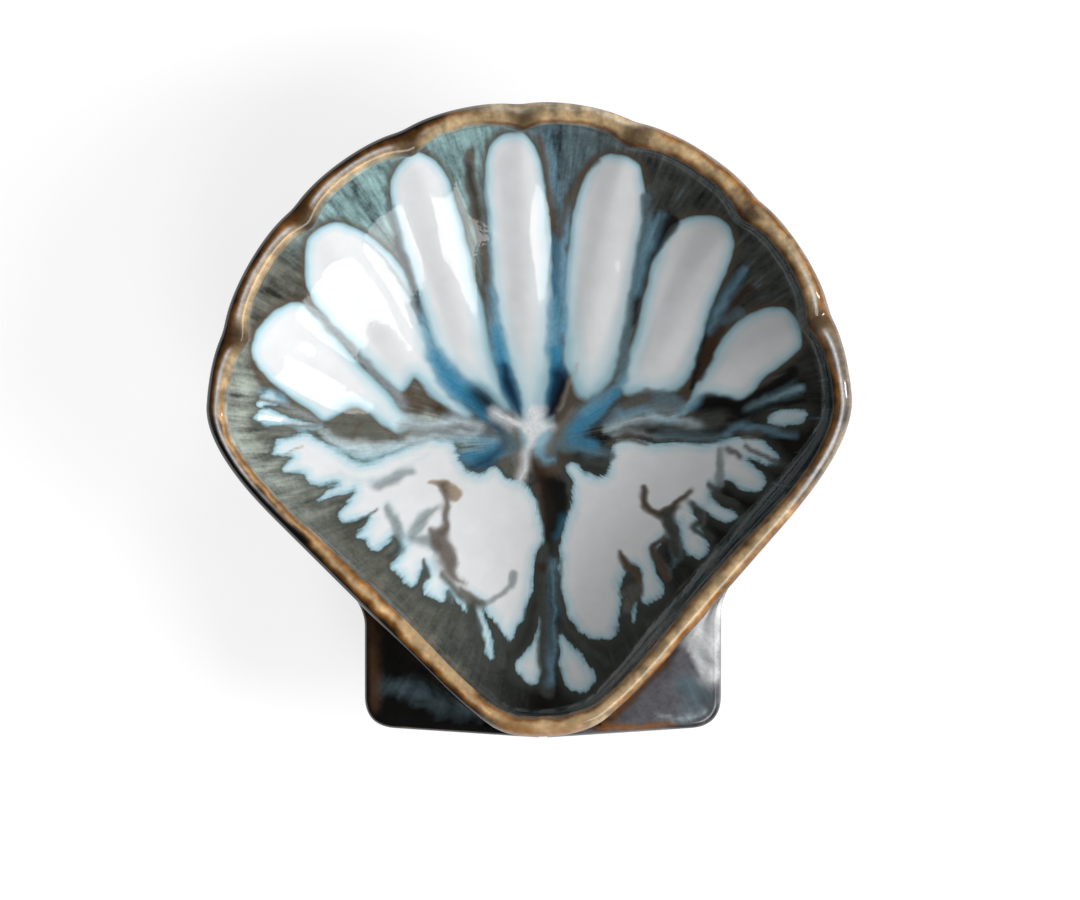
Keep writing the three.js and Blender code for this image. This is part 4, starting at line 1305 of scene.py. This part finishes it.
def paint_ear(mesh, colours, side, top):
    """Paints an ear: dark sides, and on top dark glaze with brown edges, greyer on the right ear, with
    painted highlights on top.
    """
    points = points_of(mesh)
    plan = stirred(points[:, :2], *EAR_STIR)
    count = len(plan)
    on_top = softened(points[:, 2] - top / MILLIMETRE, *EAR_TOP)
    dark = np.tile(np.array(colours.soot), (count, 1))
    base = toward(dark, colours.black if side < 0 else colours.ash, on_top)
    marks, cover = marked(plan, colours, EAR_MARKS)
    far = np.full(count, FAR_GAP)
    write_paint(mesh, base, np.full(count, EAR_STREAKS), marks, cover * on_top, far, far)


def write_paint(mesh, base, streaked, marks, cover, petals, pools):
    """Keeps the painting on the mesh, for the glaze to read."""
    write_colours(mesh, "base_tint", base, streaked)
    write_colours(mesh, "mark_tint", marks, cover)
    for name, values in {"petal_gap": petals, "pool_gap": pools}.items():
        layer = mesh.attributes.new(name, "FLOAT", "POINT")
        layer.data.foreach_set("value", values.astype(np.float32))


def write_colours(mesh, name, tints, cover):
    layer = mesh.color_attributes.new(name, "FLOAT_COLOR", "POINT")
    full = np.concatenate([np.clip(tints, 0, 1), cover[:, None]], axis=1)
    layer.data.foreach_set("color", full.astype(np.float32).ravel())


def stations(mesh):
    """How far each point lies along the section: inside, over the lip and down the outside."""
    values = np.empty(len(mesh.vertices))
    mesh.attributes["station"].data.foreach_get("value", values)
    mesh.attributes.remove(mesh.attributes["station"])
    return values


# Materials

def new_material(name):
    material = bpy.data.materials.new(name)
    material.use_nodes = True
    material.node_tree.nodes.clear()
    return material


def mixed(tree, factor, first, second):
    node = add_node(tree, "ShaderNodeMix", {0: factor, 6: first, 7: second}, data_type="RGBA")
    return node.outputs[2]


def vector_node(tree, operation, *parts):
    return add_node(tree, "ShaderNodeVectorMath", dict(enumerate(parts)), operation=operation)


def lightened(tree, tint, amount):
    """A colour made lighter or darker by a number."""
    return add_node(tree, "ShaderNodeVectorMath", {0: tint, "Scale": amount}, operation="SCALE").outputs[0]


def ramp(tree, factor, stops):
    """A colour ramp from (position, colour, cover) stops."""
    node = add_node(tree, "ShaderNodeValToRGB", {"Fac": factor})
    elements = node.color_ramp.elements
    while len(elements) < len(stops):
        elements.new(0.5)
    for element, (position, tint, cover) in zip(elements, stops):
        element.position = position
        element.color = (*tint, cover)
    return node.outputs["Color"], node.outputs["Alpha"]


def noise(tree, place, scale, detail=3.0, roughness=0.55):
    """Noise from a pattern place, centred on zero."""
    node = add_node(tree, "ShaderNodeTexNoise", {
        "Vector": place, "Scale": scale, "Detail": detail, "Roughness": roughness,
    })
    return Term(tree, node.outputs["Fac"]) - 0.5


def finished(material, tint, roughness, ior, height, strength, depth):
    """Gives a material its colour, gloss and fine relief."""
    tree = material.node_tree
    bump = add_node(tree, "ShaderNodeBump", {"Strength": strength, "Distance": depth, "Height": height})
    shader = add_node(tree, "ShaderNodeBsdfPrincipled", {
        "Base Color": tint, "Roughness": roughness, "IOR": ior, "Normal": bump.outputs["Normal"],
    })
    add_node(tree, "ShaderNodeOutputMaterial", {"Surface": shader.outputs["BSDF"]})
    return material


CLAY_GRAIN = 900.0
CLAY_SPECK = 0.55


def stoneware(colours):
    """Bare, speckled clay."""
    material = bpy.data.materials.get("bare_clay")
    if material:
        return material
    material = new_material("bare_clay")
    tree = material.node_tree
    place = add_node(tree, "ShaderNodeTexCoord").outputs["Object"]
    grain = noise(tree, place, CLAY_GRAIN, detail=4.0)
    dark = tuple(part * CLAY_SPECK for part in colours.clay)
    shade, _ = ramp(tree, grain + 0.5, [(0.3, dark, 1), (0.62, tuple(colours.clay), 1)])
    return finished(material, shade, roughness=0.85, ior=1.5, height=grain, strength=0.3, depth=0.0002)


RAMP_REACH = 3.0


def gap_ramp(tree, gap, colours, stops):
    """A colour ramp over a distance in millimetres."""
    span = 2 * RAMP_REACH
    placed = [((stop + RAMP_REACH) / span, getattr(colours, name), cover) for stop, name, cover in stops]
    return ramp(tree, (gap + RAMP_REACH) / span, placed)


# Pattern steps of the streaks round the hub and for each metre outward, and where they have full strength
STREAK_COUNT = 26.0
STREAK_PACE = 90.0
STREAK_START = 0.01
GRAIN_SCALE = 1300.0
CLOUD_SCALE = 260.0


def glaze_noises(tree):
    """Noises of the glaze, and the distance from the hub: streaks run down the bowl towards the hub."""
    place = add_node(tree, "ShaderNodeTexCoord").outputs["Object"]
    from_hub = vector_node(tree, "SUBTRACT", place, (HUB.x, HUB.y, 0.0)).outputs[0]
    level = vector_node(tree, "MULTIPLY", from_hub, (1.0, 1.0, 0.0)).outputs[0]
    outward = Term(tree, vector_node(tree, "LENGTH", level).outputs["Value"])
    aside = add_node(tree, "ShaderNodeSeparateXYZ", {0: vector_node(tree, "NORMALIZE", level).outputs[0]})
    across = [Term(tree, socket) * STREAK_COUNT for socket in aside.outputs[:2]]
    flow = add_node(tree, "ShaderNodeCombineXYZ", {0: across[0], 1: across[1], 2: outward * STREAK_PACE})
    off_hub = (outward / STREAK_START).within(0.0, 1.0)
    return SimpleNamespace(
        outward=outward,
        streaks=noise(tree, flow.outputs[0], scale=1.0, detail=4.0, roughness=0.6) * off_hub,
        fine=noise(tree, flow.outputs[0], scale=2.1, detail=1.0) * off_hub,
        grain=noise(tree, place, GRAIN_SCALE),
        cloud=noise(tree, place, CLOUD_SCALE),
    )


def weighed(noises, **weights):
    """Noises added up, each by its weight."""
    return sum(getattr(noises, name) * weight for name, weight in weights.items())


BASE_LIGHT = 0.95
BASE_RANGE = (0.2, 2.0)
BLUE_START = 0.12
BLUE_GAIN = 2.0
BLUE_MOST = 0.3


def dark_base(tree, noises, colours):
    """The dark glaze, streaked lighter and darker, with some blue in its light streaks."""
    base = add_node(tree, "ShaderNodeVertexColor", layer_name="base_tint")
    streaked = Term(tree, base.outputs["Alpha"])
    streaks = weighed(noises, streaks=3.0, fine=1.2) * streaked
    light = (streaks + weighed(noises, grain=0.7, cloud=1.0) + BASE_LIGHT).within(*BASE_RANGE)
    bluest = (weighed(noises, streaks=1.0, fine=0.5) - BLUE_START) * BLUE_GAIN
    blue = bluest.within(0.0, BLUE_MOST) * streaked * streaked
    return mixed(tree, blue, lightened(tree, base.outputs["Color"], light), (*colours.sky, 1))


# White glaze with its blue edge and the dark line round it, by millimetres from its outline
POOL_EDGE = [
    (-2.4, "white", 1), (-0.9, "pale", 1), (-0.2, "cyan", 1),
    (0.2, "charcoal", 0.75), (1.0, "charcoal", 0.5), (2.4, "charcoal", 0),
]
PETAL_EDGE = [
    (-2.8, "white", 1), (-0.9, "pale", 1), (0.2, "cyan", 1),
    (0.8, "bark", 0.8), (1.5, "bark", 0.6), (2.9, "bark", 0),
]

# Distances from a petal's outline count for more further from the hub, so its edge is wider near the hub
PETAL_NARROWING = 24.0
PETAL_AT_HUB = 0.15


def gap_on(tree, name):
    """A painted distance, read off the mesh."""
    return Term(tree, add_node(tree, "ShaderNodeAttribute", attribute_name=name).outputs["Fac"])


def white_glaze(tree, coat, noises, colours):
    """Lays the pools and then the petals over a coat, with edges that the noises break."""
    ragged = weighed(noises, cloud=0.8, fine=1.0, streaks=0.8, grain=0.6)
    pool, cover = gap_ramp(tree, gap_on(tree, "pool_gap") + ragged, colours, POOL_EDGE)
    coat = mixed(tree, cover, coat, pool)
    narrowing = noises.outward * PETAL_NARROWING + PETAL_AT_HUB
    gentle = weighed(noises, cloud=0.3, fine=0.25)
    petal, cover = gap_ramp(tree, gap_on(tree, "petal_gap") * narrowing + gentle, colours, PETAL_EDGE)
    return mixed(tree, cover, coat, petal)


MARK_RANGE = (0.3, 1.8)
FEATHER_GAIN = 2.0
CLOUD_LIGHT = 0.14


def drawn_marks(tree, coat, noises):
    """Lays the painted strokes over a coat, feathered along the flow."""
    mark = add_node(tree, "ShaderNodeVertexColor", layer_name="mark_tint")
    laid = Term(tree, mark.outputs["Alpha"])
    feather = weighed(noises, streaks=0.7, fine=0.3, grain=0.4) * (1.0 - laid)
    cover = laid * ((laid - 0.5 + feather) * FEATHER_GAIN + 0.5).within(0.0, 1.0)
    light = (weighed(noises, streaks=0.7, fine=0.25, grain=0.5) + 1.0).within(*MARK_RANGE)
    return mixed(tree, cover, coat, lightened(tree, mark.outputs["Color"], light))


def glaze(name, colours):
    """Glossy reactive glaze: a streaked dark base, pale pools that break into it, and marks over both."""
    material = bpy.data.materials.get(name)
    if material:
        return material
    material = new_material(name)
    tree = material.node_tree
    noises = glaze_noises(tree)
    coat = white_glaze(tree, dark_base(tree, noises, colours), noises, colours)
    coat = lightened(tree, drawn_marks(tree, coat, noises), noises.cloud * CLOUD_LIGHT + 1.0)
    relief = {"height": noises.cloud, "strength": 0.12, "depth": 0.0004}
    return finished(material, coat, roughness=0.05, ior=1.6, **relief)


# Operators

def shell_piece(context, name, material, values):
    """A piece swept round the hub by the shell's tree."""
    own = {"Hub X": HUB.x, "Hub Y": HUB.y, "Material": material}
    given = {**size_values(context.scene.shell_sizes), **own, **values}
    return grown(name, tree_named("Shell piece", shell_tree), given)


class BowlBody(bpy.types.Operator):
    """Makes the clay bowl under the glaze."""

    bl_idname = "shell_dish.bowl_body"
    bl_label = "Bowl body"

    def execute(self, context):
        scene = context.scene
        depth = scene.glaze_sizes.clay_depth
        piece = shell_piece(context, "bowl_clay", stoneware(scene.glaze_colours), {
            "Angle steps": 240, "Face rows": 120, "Back rows": 4, "From": 0.0, "To": 3.0,
            "Face depth": depth, "Back depth": depth, "Ring": 0.0, "Ease": 0.0, "Flat back": 1.0,
        })
        seat(piece, "bowl_body")
        return {"FINISHED"}


class FootRing(bpy.types.Operator):
    """Makes the bare ring that the dish stands on."""

    bl_idname = "shell_dish.foot_ring"
    bl_label = "Foot ring"

    def execute(self, context):
        scene = context.scene
        values = {
            **size_values(scene.shell_sizes),
            "Foot width": scene.glaze_sizes.foot_width, "Rounding": scene.glaze_sizes.foot_round,
            "Hub X": HUB.x, "Hub Y": HUB.y, "Material": stoneware(scene.glaze_colours),
        }
        seat(grown("foot_clay", tree_named("Foot ring", foot_tree), values), "foot_ring")
        return {"FINISHED"}


# Coats of the bowl, as their names and the stretch of the section that each one covers
COATS = (
    ("bowl_lining", "liner_glaze", "white_glaze", {
        "Angle steps": 620, "Face rows": 148, "From": 0.0, "To": 1.0, "Ring": 0.0, "Ease": 0.6,
    }),
    ("lip_coat", "rim_glaze", "amber_glaze", {
        "Angle steps": 900, "Face rows": 24, "From": 1.0, "To": 2.0, "Ring": 1.0, "Ease": 0.0,
    }),
    ("outer_coat", "outside_glaze", "brown_glaze", {
        "Angle steps": 480, "Face rows": 80, "From": 2.0, "To": 3.0, "Ring": 1.0, "Ease": 0.0,
    }),
)


class GlazeCoats(bpy.types.Operator):
    """Makes the coats of glaze inside the bowl, over its lip and down its outside."""

    bl_idname = "shell_dish.glaze_coats"
    bl_label = "Glaze coats"

    def execute(self, context):
        scene = context.scene
        colours = scene.glaze_colours
        depths = {"Back rows": 8, "Face depth": 0.0, "Back depth": scene.glaze_sizes.coat, "Flat back": 0.0}
        for name, node, slot, stretch in COATS:
            piece = shell_piece(context, name, glaze("bowl_glaze", colours), {**depths, **stretch})
            paint_coat(piece.data, colours, scene.shell_sizes.rib_directions, stations(piece.data))
            seat(piece, node)
        return {"FINISHED"}


SIDES = {"left": -1, "right": 1}


def ear_piece(context, name, side, rings):
    """A painted piece of one ear."""
    colours = context.scene.glaze_colours
    piece = stacked(name, rings, glaze("ear_glaze", colours))
    paint_ear(piece.data, colours, side, context.scene.ear_sizes.top)
    return piece


class Ears(bpy.types.Operator):
    """Makes the two clay ears at the hinge end."""

    bl_idname = "shell_dish.ears"
    bl_label = "Ears"

    def execute(self, context):
        scene = context.scene
        for word, side in SIDES.items():
            rings = ear_rings(scene.shell_sizes, scene.ear_sizes, side)
            seat(ear_piece(context, f"{word}_ear_slab", side, rings), f"{word}_ear")
        return {"FINISHED"}


class EarPools(bpy.types.Operator):
    """Makes the pools of glaze in the two ears."""

    bl_idname = "shell_dish.ear_pools"
    bl_label = "Ear pools"

    def execute(self, context):
        scene = context.scene
        for word, side in SIDES.items():
            rings = pool_rings(scene.shell_sizes, scene.ear_sizes, side, scene.glaze_sizes.gap)
            seat(ear_piece(context, f"{word}_ear_pool", side, rings), f"{word}_ear_glaze")
        return {"FINISHED"}


FLOOR_REACH = 3.0
FLOOR_GREY = 0.9
FLOOR_GLOW = 1.4
GLOW_SHARE = 0.55
WORLD_LIGHT = 0.05
LAMP_TARGET = (0, 0, 0.01)

# Lamps as name, place, width and depth, watts, and whether they light the dish or only glint in its glaze
LAMPS = (
    ("window", (1.12, -0.26, 0.52), (0.5, 0.5), 14.0, True),
    ("front", (0.3, -0.94, 0.88), (0.64, 0.64), 6.0, True),
    ("far window", (0.3, 1.02, 0.64), (0.5, 0.5), 4.4, True),
    ("overhead", (0.1, 0.15, 0.95), (0.8, 0.8), 0.4, True),
    ("softbox", (0.3, -0.3, 0.55), (0.4, 0.3), 1.5, False),
    ("glint", (0.6, 0.05, 0.45), (0.05, 0.16), 0.6, False),
)
CAMERA_PLACE = (0.00213, -0.00534, 0.626)
VIEW_DISTANCE = 0.6
VIEW_WIDTH = 0.2096
VIEW_RANGE = (0.01, 10.0)
SENSOR_WIDTH = 36.0


def pale_floor():
    """A matt floor that the camera and the glaze see as nearly white, with the dish's shadow on it."""
    material = new_material("pale_floor")
    tree = material.node_tree
    matt = add_node(tree, "ShaderNodeBsdfDiffuse", {"Color": (FLOOR_GREY, FLOOR_GREY, FLOOR_GREY, 1)})
    glow = add_node(tree, "ShaderNodeEmission", {"Color": (1, 1, 1, 1), "Strength": FLOOR_GLOW})
    path = add_node(tree, "ShaderNodeLightPath")
    kinds = ("Is Camera Ray", "Is Glossy Ray", "Is Transmission Ray")
    camera, glossy, through = (Term(tree, path.outputs[kind]) for kind in kinds)
    seen = (camera + glossy + through).within(0.0, GLOW_SHARE)
    mix = add_node(tree, "ShaderNodeMixShader", {0: seen, 1: matt.outputs[0], 2: glow.outputs[0]})
    add_node(tree, "ShaderNodeOutputMaterial", {"Surface": mix.outputs[0]})
    return material


def lamp(name, place, size, power, lights):
    """An area lamp that faces the dish."""
    data = bpy.data.lights.new(name, "AREA")
    data.shape = "RECTANGLE"
    data.size, data.size_y = size
    data.energy = power
    item = linked(name, data)
    item.location = place
    item.rotation_euler = (Vector(LAMP_TARGET) - Vector(place)).to_track_quat("-Z", "Y").to_euler()
    item.visible_diffuse = lights
    item.visible_glossy = not lights


def camera_above():
    """The camera over the dish, which looks straight down."""
    data = bpy.data.cameras.new("camera")
    data.sensor_width = SENSOR_WIDTH
    data.sensor_fit = "HORIZONTAL"
    data.lens = SENSOR_WIDTH * VIEW_DISTANCE / VIEW_WIDTH
    data.clip_start, data.clip_end = VIEW_RANGE
    stand = linked("camera", data)
    stand.location = CAMERA_PLACE
    return stand


class Stage(bpy.types.Operator):
    """Makes the floor, the lamps and the camera above the dish."""

    bl_idname = "shell_dish.stage"
    bl_label = "Stage"

    def execute(self, context):
        scene = context.scene
        floor = bpy.data.meshes.new("floor")
        corners = [(x * FLOOR_REACH, y * FLOOR_REACH, 0) for x, y in ((-1, -1), (1, -1), (1, 1), (-1, 1))]
        floor.from_pydata(corners, [], [(0, 1, 2, 3)])
        floor.materials.append(pale_floor())
        linked("floor", floor)

        world = bpy.data.worlds.new("studio")
        world.use_nodes = True
        sky = world.node_tree.nodes["Background"]
        sky.inputs["Color"].default_value = (1, 1, 1, 1)
        sky.inputs["Strength"].default_value = WORLD_LIGHT
        scene.world = world

        for row in LAMPS:
            lamp(*row)
        scene.camera = camera_above()
        scene.view_settings.view_transform = "Standard"
        return {"FINISHED"}


class ShellPanel(bpy.types.Panel):
    """Lists the dish's pieces and settings."""

    bl_idname = "VIEW3D_PT_shell_dish"
    bl_label = "Shell dish"
    bl_space_type = "VIEW_3D"
    bl_region_type = "UI"
    bl_category = "Shell dish"

    def draw(self, context):
        for operator in OPERATORS:
            self.layout.operator(operator.bl_idname)
        for group in SETTINGS:
            box = self.layout.box()
            box.label(text=group.replace("_", " ").capitalize())
            settings = getattr(context.scene, group)
            for field in settings.bl_rna.properties:
                if field.identifier not in {"rna_type", "name"}:
                    box.prop(settings, field.identifier)


OPERATORS = (BowlBody, FootRing, GlazeCoats, Ears, EarPools, Stage)
SETTINGS = {
    "shell_sizes": ShellSizes,
    "ear_sizes": EarSizes,
    "glaze_sizes": GlazeSizes,
    "glaze_colours": GlazeColours,
}


def register():
    for item in (*SETTINGS.values(), *OPERATORS, ShellPanel):
        bpy.utils.register_class(item)
    for name, group in SETTINGS.items():
        setattr(bpy.types.Scene, name, PointerProperty(type=group))


def unregister():
    for name in SETTINGS:
        delattr(bpy.types.Scene, name)
    for item in reversed((*SETTINGS.values(), *OPERATORS, ShellPanel)):
        bpy.utils.unregister_class(item)


def main():
    register()
    bpy.ops.shell_dish.bowl_body()
    bpy.ops.shell_dish.foot_ring()
    bpy.ops.shell_dish.glaze_coats()
    bpy.ops.shell_dish.ears()
    bpy.ops.shell_dish.ear_pools()
    bpy.ops.shell_dish.stage()


if __name__ == "__main__":
    main()
